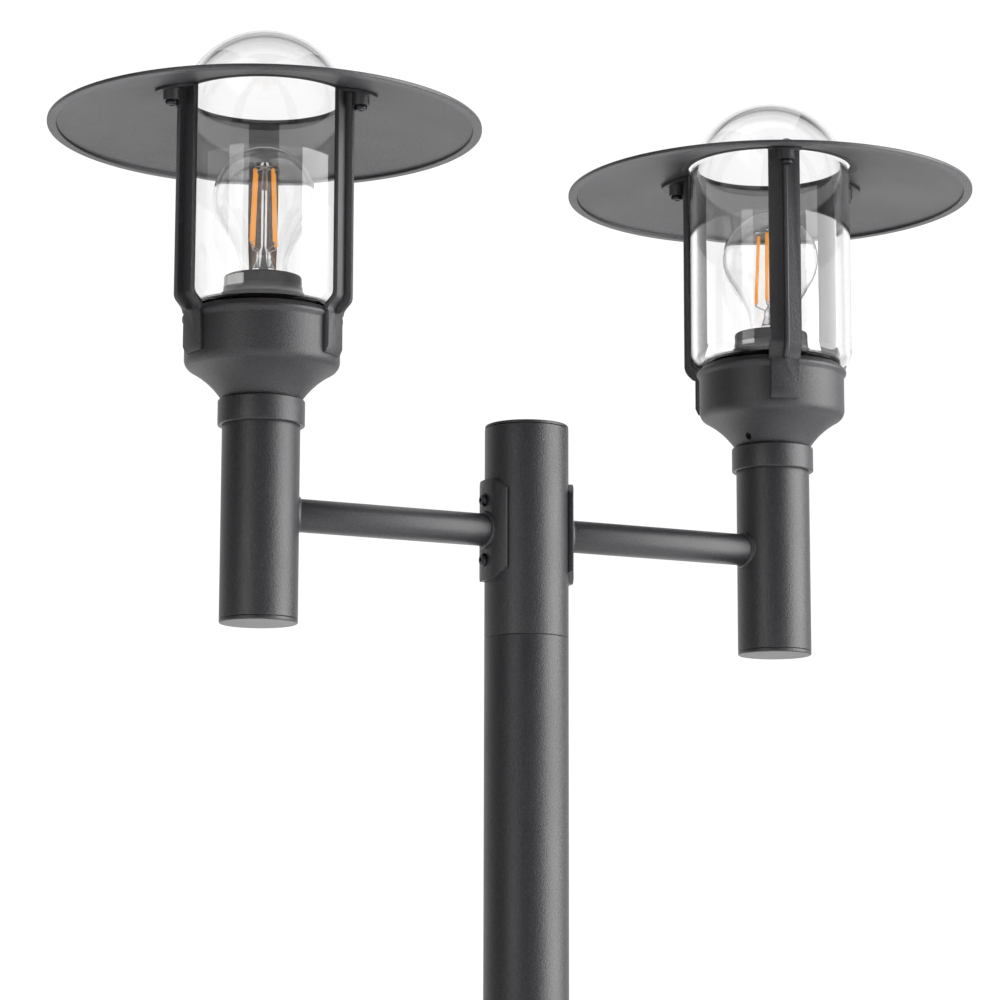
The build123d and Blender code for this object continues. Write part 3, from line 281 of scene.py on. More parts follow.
def arc(centre, radius, start, end, steps):
    """Points on a round stretch of an outline, angles in degrees."""
    angles = [math.radians(start + (end - start) * step / steps) for step in range(steps + 1)]
    return [Vector((centre[0] + radius * math.cos(a), centre[1] + radius * math.sin(a))) for a in angles]


def turn_on_lathe(name, points, place, steps=LATHE_STEPS, closed=True, sweep=360, start=0):
    """Spins an outline in millimetres about the upright axis through place."""
    x, y, z = place
    first = points[0]
    clear_selection()
    bpy.ops.mesh.primitive_plane_add(size=MM, location=(x + first[0] * MM, y, z + first[1] * MM))
    piece = named(bpy.context.object, name)
    bpy.ops.object.mode_set(mode="EDIT")
    bpy.ops.mesh.select_mode(type="VERT")
    bpy.ops.mesh.select_all(action="SELECT")
    bpy.ops.mesh.merge(type="CENTER")
    loop = list(points) + [first] if closed else list(points)
    for here, there in zip(loop, loop[1:]):
        step = ((there[0] - here[0]) * MM, 0, (there[1] - here[1]) * MM)
        bpy.ops.mesh.extrude_region_move(TRANSFORM_OT_translate={"value": step})
    bpy.ops.mesh.select_all(action="SELECT")
    bpy.ops.mesh.spin(steps=steps, angle=math.radians(sweep), center=(x, y, z), axis=(0, 0, 1))
    bpy.ops.mesh.select_all(action="SELECT")
    bpy.ops.mesh.remove_doubles(threshold=1e-6)
    if sweep < 360:
        bpy.ops.mesh.fill_holes(sides=0)
    bpy.ops.mesh.select_all(action="SELECT")
    bpy.ops.mesh.normals_make_consistent(inside=False)
    bpy.ops.object.mode_set(mode="OBJECT")
    if start:
        turn_about(piece, (x, y), start)
    return settle(piece)


def turn_about(piece, centre, degrees):
    """Turns a settled piece about the upright axis through centre."""
    spot = Matrix.Translation((centre[0], centre[1], 0))
    turn = Matrix.Rotation(math.radians(degrees), 4, "Z")
    piece.matrix_world = spot @ turn @ spot.inverted() @ piece.matrix_world
    pick(piece)
    bpy.ops.object.transform_apply(location=True, rotation=True, scale=True)


def bar_between(name, start, end, radius, sides=16):
    """Round bar between two points in metres, with softened ends."""
    run = Vector(end) - Vector(start)
    turn = run.to_track_quat("Z", "Y").to_euler()
    clear_selection()
    bpy.ops.mesh.primitive_cylinder_add(vertices=sides, radius=radius, depth=run.length,
                                        location=(Vector(start) + Vector(end)) / 2, rotation=turn)
    piece = named(bpy.context.object, name)
    apply_modifier(piece, "BEVEL", width=radius * 0.35, segments=2, limit_method="ANGLE")
    return settle(piece, 40)


def drill(piece, start, end, radius):
    """Round hole through a piece between two points in metres."""
    cutter = bar_between("drill", start, end, radius, 32)
    apply_modifier(piece, "BOOLEAN", object=cutter, operation="DIFFERENCE", solver="EXACT")
    bpy.data.objects.remove(cutter)
    settle(piece)


def dressed_copy(name, node, edge, angle=40):
    """Copy of a CAD node with its triangles merged, its edges rounded and its faces smoothed."""
    piece = bpy.data.objects.new(name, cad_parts[node].data.copy())
    bpy.context.scene.collection.objects.link(piece)
    piece.data.materials.clear()
    pick(piece)
    bpy.ops.object.mode_set(mode="EDIT")
    bpy.ops.mesh.select_all(action="SELECT")
    bpy.ops.mesh.remove_doubles(threshold=1e-6)
    bpy.ops.mesh.dissolve_limited(angle_limit=math.radians(1))
    bpy.ops.object.mode_set(mode="OBJECT")
    if edge:
        apply_modifier(piece, "BEVEL", width=edge, segments=2, limit_method="ANGLE",
                       angle_limit=math.radians(angle), use_clamp_overlap=True)
    return settle(named(piece, name), angle)


def finish(piece, body, slot, material, *nodes):
    """Rides a piece on its body, gives it its material, and hides the CAD nodes it stands for; the slot
    argument is not used.
    """
    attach(piece, body)
    if nodes:
        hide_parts(*nodes)
    piece.data.materials.clear()
    piece.data.materials.append(material)
    return piece


def repaint(node, material):
    """Gives a CAD node that stays in place its material."""
    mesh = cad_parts[node].data
    if not mesh.materials:
        mesh.materials.append(material)
    for index in range(len(mesh.materials)):
        mesh.materials[index] = material


# ---- materials ----
GRAIN_DEPTH_MM = 0.35
MOULD_DEPTH_MM = 0.05
RIPPLE_DEPTH_MM = 0.3
CLOUD_MM = 45


def add_node(tree, kind, settings=None, links=None):
    """Adds a shader node with its settings, by input or by attribute, and its links."""
    node = tree.nodes.new("ShaderNode" + kind)
    for key, value in (settings or {}).items():
        if isinstance(key, int) or key in node.inputs:
            node.inputs[key].default_value = value
        else:
            setattr(node, key, value)
    for key, socket in (links or {}).items():
        tree.links.new(socket, node.inputs[key])
    return node


def new_material(name):
    material = bpy.data.materials.get(name)
    if material:
        return material, None
    material = bpy.data.materials.new(name)
    material.use_nodes = True
    material.node_tree.nodes.clear()
    return material, material.node_tree


def noise(tree, place, size, detail=2.0, roughness=0.5):
    """Noise whose blobs are about size millimetres wide."""
    return add_node(tree, "TexNoise", {"Scale": 1 / (size * MM), "Detail": detail, "Roughness": roughness},
                    {"Vector": place.outputs["Object"]})


def span_to(tree, socket, low, high, start=0.0, end=1.0):
    """Maps a pattern's values from low..high to start..end."""
    return add_node(tree, "MapRange", {"From Min": low, "From Max": high, "To Min": start, "To Max": end},
                    {"Value": socket})


def tint(tree, factor, dark, light):
    return add_node(tree, "Mix", {"data_type": "RGBA", 6: dark, 7: light}, {0: factor})


def shaded(colour, amount):
    return (*[min(1.0, c * amount) for c in colour[:3]], 1.0)


def powder_coat(name, colour, roughness, relief):
    """Textured polyester powder coat on metal: a dark satin skin of tiny melted grains that
    breaks the light into a soft, faintly sparkling band."""
    material, tree = new_material(name)
    if not tree:
        return material
    finish_values = bpy.context.scene.lamp_finish
    grain_size = finish_values.grain / MM
    place = add_node(tree, "TexCoord")
    grain = noise(tree, place, grain_size, 3.0, 0.6)
    speck = noise(tree, place, grain_size * 0.8, 1.0)
    cloud = noise(tree, place, CLOUD_MM, 2.0)
    fleck = span_to(tree, speck.outputs["Fac"], 0.45, 0.75)
    skin = tint(tree, fleck.outputs["Result"], shaded(colour, 0.8), shaded(colour, 1.7))
    rough = span_to(tree, cloud.outputs["Fac"], 0.3, 0.7, roughness - 0.03, roughness + 0.03)
    bump = add_node(tree, "Bump", {"Strength": relief, "Distance": GRAIN_DEPTH_MM * MM},
                    {"Height": grain.outputs["Fac"]})
    shader = add_node(tree, "BsdfPrincipled", {"IOR": 1.5}, {
        "Base Color": skin.outputs[2], "Roughness": rough.outputs["Result"],
        "Normal": bump.outputs["Normal"]})
    add_node(tree, "OutputMaterial", None, {"Surface": shader.outputs["BSDF"]})
    return material


def coat():
    values = bpy.context.scene.lamp_finish
    return powder_coat("textured_powder_coat_on_steel", values.coat, values.coat_roughness, 0.55)


def cast_coat():
    values = bpy.context.scene.lamp_finish
    return powder_coat("powder_coat_on_cast_aluminium", values.coat, values.coat_roughness + 0.03, 0.7)


def hat_coat():
    values = bpy.context.scene.lamp_finish
    # Lighter hat colour: painted light on the hats' undersides.
    return powder_coat("powder_coat_on_spun_aluminium_painted_lighter", values.hat, values.coat_roughness + 0.02, 0.4)


def metal(name, code, roughness, scratch_mm):
    """Bare or plated metal with faint turning marks."""
    material, tree = new_material(name)
    if not tree:
        return material
    place = add_node(tree, "TexCoord")
    marks = noise(tree, place, scratch_mm, 4.0, 0.6)
    colour = hex_to_linear(code)
    skin = tint(tree, marks.outputs["Fac"], shaded(colour, 0.8), shaded(colour, 1.1))
    rough = span_to(tree, marks.outputs["Fac"], 0.3, 0.7, roughness - 0.06, roughness + 0.08)
    shader = add_node(tree, "BsdfPrincipled", {"Metallic": 1.0}, {
        "Base Color": skin.outputs[2], "Roughness": rough.outputs["Result"]})
    add_node(tree, "OutputMaterial", None, {"Surface": shader.outputs["BSDF"]})
    return material


def zinc():
    return metal("zinc_plated_steel", "#b6bbc0", 0.4, 6.0)


def black_oxide():
    return metal("black_oxide_steel", "#3a3a3d", 0.38, 1.5)


def nickel():
    return metal("nickel_plated_bulb_cap", "#c8c6c2", 0.28, 2.0)


def brass():
    return metal("pressed_brass", "#cfae66", 0.32, 3.0)


def moulded(name, colour, roughness, relief=0.25, size=0.6):
    """Moulded plastic or rubber: an even skin with a fine spark-eroded mould texture."""
    material, tree = new_material(name)
    if not tree:
        return material
    place = add_node(tree, "TexCoord")
    texture = noise(tree, place, size, 2.0)
    cloud = noise(tree, place, 12, 2.0)
    skin = tint(tree, cloud.outputs["Fac"], shaded(colour, 0.88), shaded(colour, 1.12))
    bump = add_node(tree, "Bump", {"Strength": relief, "Distance": MOULD_DEPTH_MM * MM},
                    {"Height": texture.outputs["Fac"]})
    rough = span_to(tree, cloud.outputs["Fac"], 0.3, 0.7, roughness - 0.04, roughness + 0.04)
    shader = add_node(tree, "BsdfPrincipled", {"IOR": 1.5}, {
        "Base Color": skin.outputs[2], "Roughness": rough.outputs["Result"],
        "Normal": bump.outputs["Normal"]})
    add_node(tree, "OutputMaterial", None, {"Surface": shader.outputs["BSDF"]})
    return material


def rubber():
    return moulded("moulded_silicone_rubber", bpy.context.scene.lamp_finish.rubber, 0.6)


def holder_plastic():
    return moulded("moulded_phenolic_lampholder", bpy.context.scene.lamp_finish.holder, 0.38)


def terminal_plastic():
    return moulded("moulded_polyamide", hex_to_linear("#dcd8cb"), 0.45)


def cable_jacket():
    return moulded("rubber_cable_jacket", hex_to_linear("#1a1a1b"), 0.55)


def label_film():
    return moulded("printed_polyester_label", bpy.context.scene.lamp_finish.label, 0.35, 0.05)


def filament_silicone():
    """Phosphor-filled silicone on the light strips: amber with a soft sheen. A fixed emission makes the
    strips brighter than the light on them: painted glow, standing in for the phosphor's fluorescence in
    daylight."""
    material = moulded("phosphor_silicone_painted_glow", bpy.context.scene.lamp_finish.filament, 0.45, 0.3, 0.8)
    shader = next(node for node in material.node_tree.nodes if node.type == "BSDF_PRINCIPLED")
    # Fixed emission on the strips: painted glow.
    shader.inputs["Emission Color"].default_value = hex_to_linear("#ff9a10")
    shader.inputs["Emission Strength"].default_value = 0.6
    return material


def glass(name, tone, roughness=0.0, waviness=0.0, wave_mm=30):
    """Clear soda-lime glass: colourless, with the slow ripple that blowing leaves."""
    material, tree = new_material(name)
    if not tree:
        return material
    links = {}
    if waviness:
        place = add_node(tree, "TexCoord")
        ripple = noise(tree, place, wave_mm, 1.0)
        bump = add_node(tree, "Bump", {"Strength": waviness, "Distance": RIPPLE_DEPTH_MM * MM},
                        {"Height": ripple.outputs["Fac"]})
        links["Normal"] = bump.outputs["Normal"]
    shader = add_node(tree, "BsdfPrincipled", {
        "Base Color": hex_to_linear(tone), "Roughness": roughness, "IOR": 1.5,
        "Transmission Weight": 1.0}, links)
    add_node(tree, "OutputMaterial", None, {"Surface": shader.outputs["BSDF"]})
    return material


def dome_glass():
    return glass("thick_blown_glass", "#ffffff", 0.0, 0.25, 40)


def bulb_envelope():
    return glass("thin_bulb_glass", "#ffffff", 0.0, 0.1, 25)


def stem_glass():
    return glass("pressed_stem_glass", "#fafafa", 0.02, 0.25, 4)


# ---- pieces of the post ----
def tube_outline(radius, wall, height, soft):
    return outline((radius - wall, 0), (radius, 0, soft), (radius, height, soft), (radius - wall, height))


def make_tube(name, node, wall, soft):
    """Plain tube with broken edges in the place of a CAD node."""
    centre = middle_of(node)
    height = (level(node, 1) - level(node, 0)) / MM
    points = tube_outline(post_radius(), wall, height, soft)
    return turn_on_lathe(name, points, (0, 0, level(node, 0)))


def post_radius():
    return half_width("upper_post")


class LAMP_OT_post(bpy.types.Operator):
    """Builds the base plate, foot, post tubes, cap and their screws"""
    bl_idname = "lamp_post.post"
    bl_label = "Post"

    def execute(self, context):
        sizes = context.scene.lamp_sizes
        wall = sizes.tube_wall / MM
        soft = sizes.edge_round / MM
        for node in ("lower_post", "upper_post", "head_tube"):
            tube = make_tube(f"{node}_tube", node, wall, soft)
            self.drill_tube(tube, node)
            finish(tube, "root", "powder_coat", coat(), node)
        self.make_cap()
        self.make_base(soft)
        for node in ("post_grub_screws", "saddle_screws"):
            finish(dressed_copy(f"{node}_set", node, 0.12 * MM), "root", "black_screw", black_oxide(), node)
        return {"FINISHED"}

    def drill_tube(self, tube, node):
        """Holes for the headless screws that lock the tubes on their sleeves."""
        low, high = level(node, 0), level(node, 1)
        reach = post_radius() * MM * 1.2
        above_seam = (GRUB_ANGLE_AT_SEAM, low + GRUB_FROM_SEAM * MM)
        below_seam = (GRUB_ANGLE_AT_SEAM, high - GRUB_FROM_SEAM * MM)
        at_foot = [(angle, low + GRUB_ABOVE_FOOT * MM) for angle in GRUB_ANGLES_AT_FOOT]
        places = {"lower_post": at_foot + [below_seam], "upper_post": [above_seam, below_seam],
                  "head_tube": [above_seam]}[node]
        for angle, height in places:
            way = Vector((math.cos(math.radians(angle)), math.sin(math.radians(angle)), 0))
            spot = Vector((0, 0, height))
            drill(tube, spot + way * reach * 0.6, spot + way * reach, GRUB_HOLE_RADIUS * MM)

    def make_cap(self):
        """Flat cap on the post's top, with its skirt inside the tube."""
        top = level("post_cap", 1)
        radius = half_width("post_cap")
        edge = (level("head_tube", 1) - top) / MM
        inner = post_radius() - 2.6
        bore = inner - SLEEVE_WALL
        seat = edge + POST_CAP_SEAT
        skirt = edge - POST_CAP_SKIRT
        floor = edge - POST_CAP_FLOOR
        points = outline((0, 0), (radius, 0, POST_CAP_EDGE), (radius, seat), (inner, seat), (inner, skirt),
                         (bore, skirt), (bore, floor), (0, floor))
        cap = turn_on_lathe("post_cap_disc", points, (0, 0, top), closed=False)
        finish(cap, "root", "powder_coat", coat(), "post_cap")

    def make_base(self, soft):
        """Base plate with its bolt holes, the foot the post stands on, and the cable bush."""
        thickness = (level("base_plate", 1) - level("base_plate", 0)) / MM
        radius = half_width("base_plate")
        hole = half_width("cable_grommet") - BUSH_GRIP
        plate = turn_on_lathe("base_plate_disc", outline(
            (hole, 0), (radius, 0, soft), (radius, thickness, BASE_EDGE), (hole, thickness)), (0, 0, 0))
        for quarter in range(4):
            angle = math.radians(45 + 90 * quarter)
            spot = Vector((math.cos(angle), math.sin(angle), 0)) * (radius - BASE_BOLT_INSET) * MM
            drill(plate, spot - Vector((0, 0, 0.01)), spot + Vector((0, 0, 0.03)),
                  BASE_BOLT_HOLE_RADIUS * MM)
        finish(plate, "root", "powder_coat", coat(), "base_plate")
        outer = half_width("base_foot")
        post = post_radius()
        low = level("base_foot", 0)
        height = (level("base_foot", 1) - low) / MM
        collar = (level("lower_post", 0) - low) / MM
        sleeve = post - bpy.context.scene.lamp_sizes.tube_wall / MM - RUNNING_FIT
        bore = sleeve - SLEEVE_WALL
        foot = turn_on_lathe("base_foot_sleeve", outline(
            (bore, 0), (outer, 0, 0.6), (post + 1.8, collar - 1.2, 1.5),
            (post + 0.6, collar - 0.1, 0.3), (sleeve, collar - 0.1), (sleeve, height, 0.5),
            (bore, height)), (0, 0, low))
        finish(foot, "root", "powder_coat", coat(), "base_foot")
        bush_low = level("cable_grommet", 0)
        bush_height = (level("cable_grommet", 1) - bush_low) / MM
        lip = half_width("cable_grommet")
        lip_low = bush_height - BUSH_LIP
        bush = turn_on_lathe("cable_bush", outline(
            (INLET_RADIUS, 0, 0.4), (hole, 0, 0.4), (hole, lip_low), (lip, lip_low, 0.3),
            (lip, bush_height, 0.7), (INLET_RADIUS, bush_height, 0.6)), (0, 0, bush_low), FINE_LATHE_STEPS)
        finish(bush, "root", "rubber_black", rubber(), "cable_grommet")


class LAMP_OT_arms(bpy.types.Operator):
    """Builds the arms with their weld beads, and the saddles that carry them"""
    bl_idname = "lamp_post.arms"
    bl_label = "Arms and Saddles"

    def execute(self, context):
        bead = context.scene.lamp_sizes.weld_bead
        for side, sign in SIDES.items():
            centre = middle_of(f"{side}_arm")
            radius = half_width(f"{side}_arm") * MM
            low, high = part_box(f"{side}_arm")
            inner, outer = sorted((low[0] * sign, high[0] * sign))
            saddle_face = max(abs(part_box(f"{side}_saddle")[0][0]), abs(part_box(f"{side}_saddle")[1][0]))
            axis_x, _ = lantern_axis(side)
            tube = half_width(f"{side}_lamp_tube") * MM
            parts = [bar_between("arm", (sign * (saddle_face - ARM_LAP * MM), 0, centre.z),
                                 (axis_x - sign * (tube - ARM_LAP * MM), 0, centre.z), radius, 96)]
            parts.append(self.bead_ring(sign * saddle_face, sign, centre.z, radius, saddle_face, bead))
            parts.append(self.bead_ring(axis_x - sign * tube, -sign, centre.z, radius, tube, bead))
            finish(joined(f"{side}_arm_tube", parts), "root", "powder_coat", coat(), f"{side}_arm")
            saddle = dressed_copy(f"{side}_saddle_plate", f"{side}_saddle", 0.55 * MM)
            finish(saddle, "root", "powder_coat", coat(), f"{side}_saddle")
        return {"FINISHED"}

    def bead_ring(self, face, way, height, radius, barrel, bead):
        """Weld bead round the arm's end, following the round barrel that it meets."""
        clear_selection()
        bpy.ops.mesh.primitive_torus_add(location=(face, 0, height), rotation=(0, math.pi / 2, 0),
                                         major_segments=96, minor_segments=12,
                                         major_radius=radius + bead * 0.1, minor_radius=bead)
        ring = bpy.context.object
        bpy.ops.object.transform_apply(location=True, rotation=True, scale=True)
        for vertex in ring.data.vertices:
            fall = barrel - math.sqrt(max(barrel ** 2 - vertex.co.y ** 2, 0))
            ripple = math.sin(math.atan2(vertex.co.z - height, vertex.co.y) * 26) * bead * 0.05
            vertex.co.x += -way * fall + way * ripple
        return settle(ring, 60)


class LAMP_OT_lamp_tubes(bpy.types.Operator):
    """Builds the upright tubes under the lanterns with their end caps and collars"""
    bl_idname = "lamp_post.lamp_tubes"
    bl_label = "Lamp Tubes"

    def execute(self, context):
        sizes = context.scene.lamp_sizes
        wall = sizes.tube_wall / MM
        soft = sizes.edge_round / MM
        for side in SIDES:
            x, y = lantern_axis(side)
            radius = half_width(f"{side}_lamp_tube")
            low = level(f"{side}_lamp_tube", 0)
            high = level(f"{side}_lamp_tube", 1)
            tube = turn_on_lathe(f"{side}_upright_tube", tube_outline(radius, wall, (high - low) / MM, soft),
                                 (x, y, low))
            finish(tube, "root", "powder_coat", coat(), f"{side}_lamp_tube")
            cap_low = level(f"{side}_tube_cap", 0)
            lip = (low - cap_low) / MM
            inner = radius - wall - RUNNING_FIT
            bore = inner - SLEEVE_WALL
            seat = lip - TUBE_CAP_GAP
            skirt = lip + TUBE_CAP_SKIRT
            cap = turn_on_lathe(f"{side}_end_cap", outline(
                (0, 0), (radius, 0, TUBE_CAP_EDGE), (radius, seat, 0.35), (inner, seat), (inner, skirt),
                (bore, skirt), (bore, lip), (0, lip)), (x, y, cap_low), closed=False)
            finish(cap, "root", "powder_coat", coat(), f"{side}_tube_cap")
            self.make_collar(side, x, y, radius, wall)
        return {"FINISHED"}

    def make_collar(self, side, x, y, radius, wall):
        node = f"{side}_tube_collar"
        outer = half_width(node)
        tube_top = level(f"{side}_lamp_tube", 1)
        cup_foot = level(f"{side}_lantern_cup", 0)
        top = (cup_foot - tube_top) / MM - COLLAR_GAP
        spigot = radius - wall - RUNNING_FIT
        bore = spigot - SLEEVE_WALL
        seat = radius + RUNNING_FIT
        rise = (level(node, 1) - tube_top) / MM
        drop = (level(node, 0) - tube_top) / MM
        skirt = top - COLLAR_HEIGHT
        collar = turn_on_lathe(f"{side}_turned_collar", outline(
            (bore, drop), (spigot, drop), (spigot, 0), (seat, 0), (seat, skirt), (outer, skirt, COLLAR_EDGE),
            (outer, top, COLLAR_EDGE), (spigot, top), (spigot, rise, 0.5), (bore, rise)), (x, y, tube_top))
        finish(collar, "root", "powder_coat", coat(), node)


class LAMP_OT_cups(bpy.types.Operator):
    """Builds the cast cups with their struts and screws"""
    bl_idname = "lamp_post.cups"
    bl_label = "Cups and Struts"

    def execute(self, context):
        sizes = context.scene.lamp_sizes
        for side in SIDES:
            body = f"{side}_lantern"
            cup = self.make_cup(side)
            finish(cup, body, "cast_coat", cast_coat(), f"{side}_lantern_cup")
            for number in (1, 2, 3):
                node = f"{side}_strut_{number}"
                strut = dressed_copy(f"{side}_cast_strut_{number}", node, sizes.cast_edge, 35)
                finish(strut, body, "cast_coat", cast_coat(), node)
            screws = dressed_copy(f"{side}_pan_screws", f"{side}_lantern_screws", 0.15 * MM)
            finish(screws, body, "black_screw", black_oxide(), f"{side}_lantern_screws")
            grub = dressed_copy(f"{side}_cup_grub", f"{side}_cup_grub_screw", 0.1 * MM)
            finish(grub, body, "black_screw", black_oxide(), f"{side}_cup_grub_screw")
            repaint(f"{side}_glass_gasket", rubber())
        return {"FINISHED"}

    def make_cup(self, side):
        node = f"{side}_lantern_cup"
        x, y = lantern_axis(side)
        low = level(node, 0)
        height = (level(node, 1) - low) / MM
        bead = half_width(node)
        wall = bead - CUP_BEAD
        crease = CUP_CREASE
        mouth = bead - CUP_BEAD_TOP
        neck = half_width(f"{side}_tube_collar") - CUP_NECK_INSET
        spigot = half_width(f"{side}_lamp_tube") - 2.5
        bore = wall - CUP_WALL
        shelf = bore - CUP_SHELF
        floor = CUP_FLOOR
        underside = floor - CUP_FLOOR_THICKNESS
        gasket = (level(f"{side}_glass_gasket", 0) - low) / MM
        shoulder = (wall - 3.0, crease - CUP_SHOULDER_DROP)
        points = outline((spigot, 0)) + arc_through((neck, 0), shoulder, 1.6)
        points += arc_through(shoulder, (wall, crease), -0.62, 6)[1:]
        points += outline((wall, crease), (wall, height - CUP_WALL_TOP, 2.0),
                          (bead, height - CUP_BEAD_BOTTOM, 0.5), (bead, height - CUP_BEAD_TOP, 0.35),
                          (mouth, height, 0.3), (bore, height, 0.2), (bore, gasket), (shelf, gasket),
                          (shelf, floor), (NIPPLE_HOLE_RADIUS, floor), (NIPPLE_HOLE_RADIUS, underside),
                          (spigot, underside))[1:]
        cup = turn_on_lathe(f"{side}_cast_cup", points, (x, y, low))
        screw = middle_of(f"{side}_cup_grub_screw")
        way = Vector((screw.x - x, screw.y - y, 0)).normalized()
        spot = Vector((x, y, screw.z))
        drill(cup, spot + way * (spigot - 1) * MM, spot + way * (wall + 5) * MM, CUP_GRUB_HOLE_RADIUS * MM)
        return cup


def arc_through(start, end, bulge, steps=12):
    """Hollow flare between two outline points: an arc whose middle lies bulge inside the straight line."""
    start, end = Vector(start), Vector(end)
    middle = (start + end) / 2 + Vector((start.y - end.y, end.x - start.x)).normalized() * bulge
    points = []
    for step in range(steps + 1):
        t = step / steps
        control = middle * 2 - (start + end) / 2
        points.append(start * (1 - t) ** 2 + control * 2 * t * (1 - t) + end * t ** 2)
    return points


class LAMP_OT_glass(bpy.types.Operator):
    """Builds the thick glass domes"""
    bl_idname = "lamp_post.glass"
    bl_label = "Glass Domes"

    def execute(self, context):
        wall = context.scene.lamp_sizes.glass_wall / MM
        for side in SIDES:
            node = f"{side}_glass_dome"
            x, y = lantern_axis(side)
            radius = half_width(node)
            low = level(node, 0)
            height = (level(node, 1) - low) / MM
            crown = height - radius
            corner = GLASS_CORNER_HEIGHT
            bend = GLASS_CORNER_RADIUS
            inner = radius - wall
            mouth = radius - bend
            round_off = GLASS_LIP_ROUND
            points = [Vector((mouth - wall, round_off)), Vector((mouth - wall + round_off, 0)),
                      Vector((mouth - round_off, 0)), Vector((mouth, round_off))]
            points += arc((mouth, corner), bend, -90, 0, 12)
            points += arc((0, crown), radius, 0, 90, 36)
            points += arc((0, crown), inner, 90, 0, 36)
            points += arc((mouth, corner), bend - wall, 0, -90, 10)
            points += [Vector((mouth - wall, corner - bend + wall))]
            dome = turn_on_lathe(f"{side}_blown_dome", points, (x, y, low))
            finish(dome, f"{side}_glass", "clear_glass", dome_glass(), node)
        return {"FINISHED"}


class LAMP_OT_hats(bpy.types.Operator):
    """Builds the spun hats with their seals and nuts"""
    bl_idname = "lamp_post.hats"
    bl_label = "Hats"

    def execute(self, context):
        sheet = context.scene.lamp_sizes.sheet / MM
        for side in SIDES:
            node = f"{side}_hat"
            body = f"{side}_lantern"
            x, y = lantern_axis(side)
            radius = half_width(node) - HAT_BOX_MARGIN
            low = level(node, 0)
            rise = (level(node, 1) - low) / MM - sheet
            hole = half_width(f"{side}_glass_dome") + HAT_HOLE_GAP
            lip = radius - HAT_LIP_WIDTH
            step = HAT_LIP_STEP
            slope = (rise - step) / (lip - hole)
            edge = rise - (radius - hole) * slope + sheet
            hat = turn_on_lathe(f"{side}_spun_hat", outline(
                (hole, rise), (lip, step, 0.4), (lip, 0.0, 0.5), (radius, 0.0, 0.7), (radius, edge, 0.7),
                (hole, rise + sheet)), (x, y, low), LATHE_STEPS + 48)
            finish(hat, body, "hat_coat", hat_coat(), node)
            self.make_seal(side, x, y, low, hole, rise, sheet, slope)
            self.make_nuts(side, x, y)
        return {"FINISHED"}

    def make_nuts(self, side, x, y):
        """Low blackened nuts that stand just clear of the screws' ends."""
        node = f"{side}_hat_cap_nuts"
        nuts = dressed_copy(f"{side}_low_nuts", node, 0.1 * MM)
        bpy.ops.object.mode_set(mode="EDIT")
        bpy.ops.mesh.select_all(action="SELECT")
        bpy.ops.transform.resize(value=(1, 1, LOW_NUT_SHARE), center_override=(x, y, level(node, 0)))
        bpy.ops.object.mode_set(mode="OBJECT")
        finish(nuts, f"{side}_lantern", "black_screw", black_oxide(), node)

    def make_seal(self, side, x, y, low, hole, rise, sheet, slope):
        """Black rubber edging clipped over the rim of the hat's hole."""
        reach = hole + SEAL_FLANGE
        fall = SEAL_FLANGE * slope
        inner = hole - SEAL_WEB
        top = rise + sheet
        under = rise - SEAL_LIP
        seal = turn_on_lathe(f"{side}_edge_trim", outline(
            (inner, under, 0.3), (reach, under - fall * 0.1, 0.2), (reach, rise - fall), (hole, rise),
            (hole, top), (reach, top - fall), (reach, top - fall + SEAL_LIP, 0.3),
            (inner, top + SEAL_LIP, 0.5)), (x, y, low))
        finish(seal, f"{side}_lantern", "rubber_black", rubber(), f"{side}_hat_seal")


class LAMP_OT_holders(bpy.types.Operator):
    """Builds the lampholders with their blank labels"""
    bl_idname = "lamp_post.holders"
    bl_label = "Lampholders"

    def execute(self, context):
        for side in SIDES:
            node = f"{side}_lampholder"
            body = f"{side}_lantern"
            x, y = lantern_axis(side)
            low = level(node, 0)
            height = (level(node, 1) - low) / MM
            foot = half_width(node)
            barrel = foot - HOLDER_STEP
            foot_top = height - HOLDER_BARREL
            bore = HOLDER_BORE
            entry = HOLDER_ENTRY
            bore_floor = height - HOLDER_BORE_DEPTH
            holder = turn_on_lathe(f"{side}_moulded_holder", outline(
                (entry, 0), (foot, 0), (foot, foot_top, 0.5), (barrel, foot_top + 1.4, 0.4),
                (barrel, height, 1.3), (18.6, height, 0.3), (18.2, height - 0.8), (17.0, height - 0.8),
                (16.6, height, 0.3), (bore, height, 0.4), (bore, bore_floor), (entry, bore_floor)),
                (x, y, low))
            finish(holder, body, "holder_plastic", holder_plastic(), node)
            self.make_label(side, x, y, low, height, barrel)
            repaint(f"{side}_lampholder_shell", brass())
            repaint(f"{side}_lampholder_bolt", zinc())
        return {"FINISHED"}

    def make_label(self, side, x, y, low, height, barrel):
        """Blank label stuck round the lampholder's barrel."""
        sizes = bpy.context.scene.lamp_sizes
        share, label_height, turn, drop = {"left": (1.0, sizes.label_height / MM, 219, 1.6),
                                           "right": (0.48, sizes.label_height * 0.7 / MM, 212, 6.0)}[side]
        sweep = math.degrees(sizes.label_width / MM * share / barrel)
        top = height - drop
        bottom = top - label_height
        points = outline((barrel - 0.1, bottom), (barrel + 0.12, bottom, 0.05), (barrel + 0.12, top, 0.05),
                         (barrel - 0.1, top))
        label = turn_on_lathe(f"{side}_blank_label", points, (x, y, low), 12, sweep=sweep, start=turn)
        finish(label, f"{side}_lantern", "terminal_plastic", label_film())


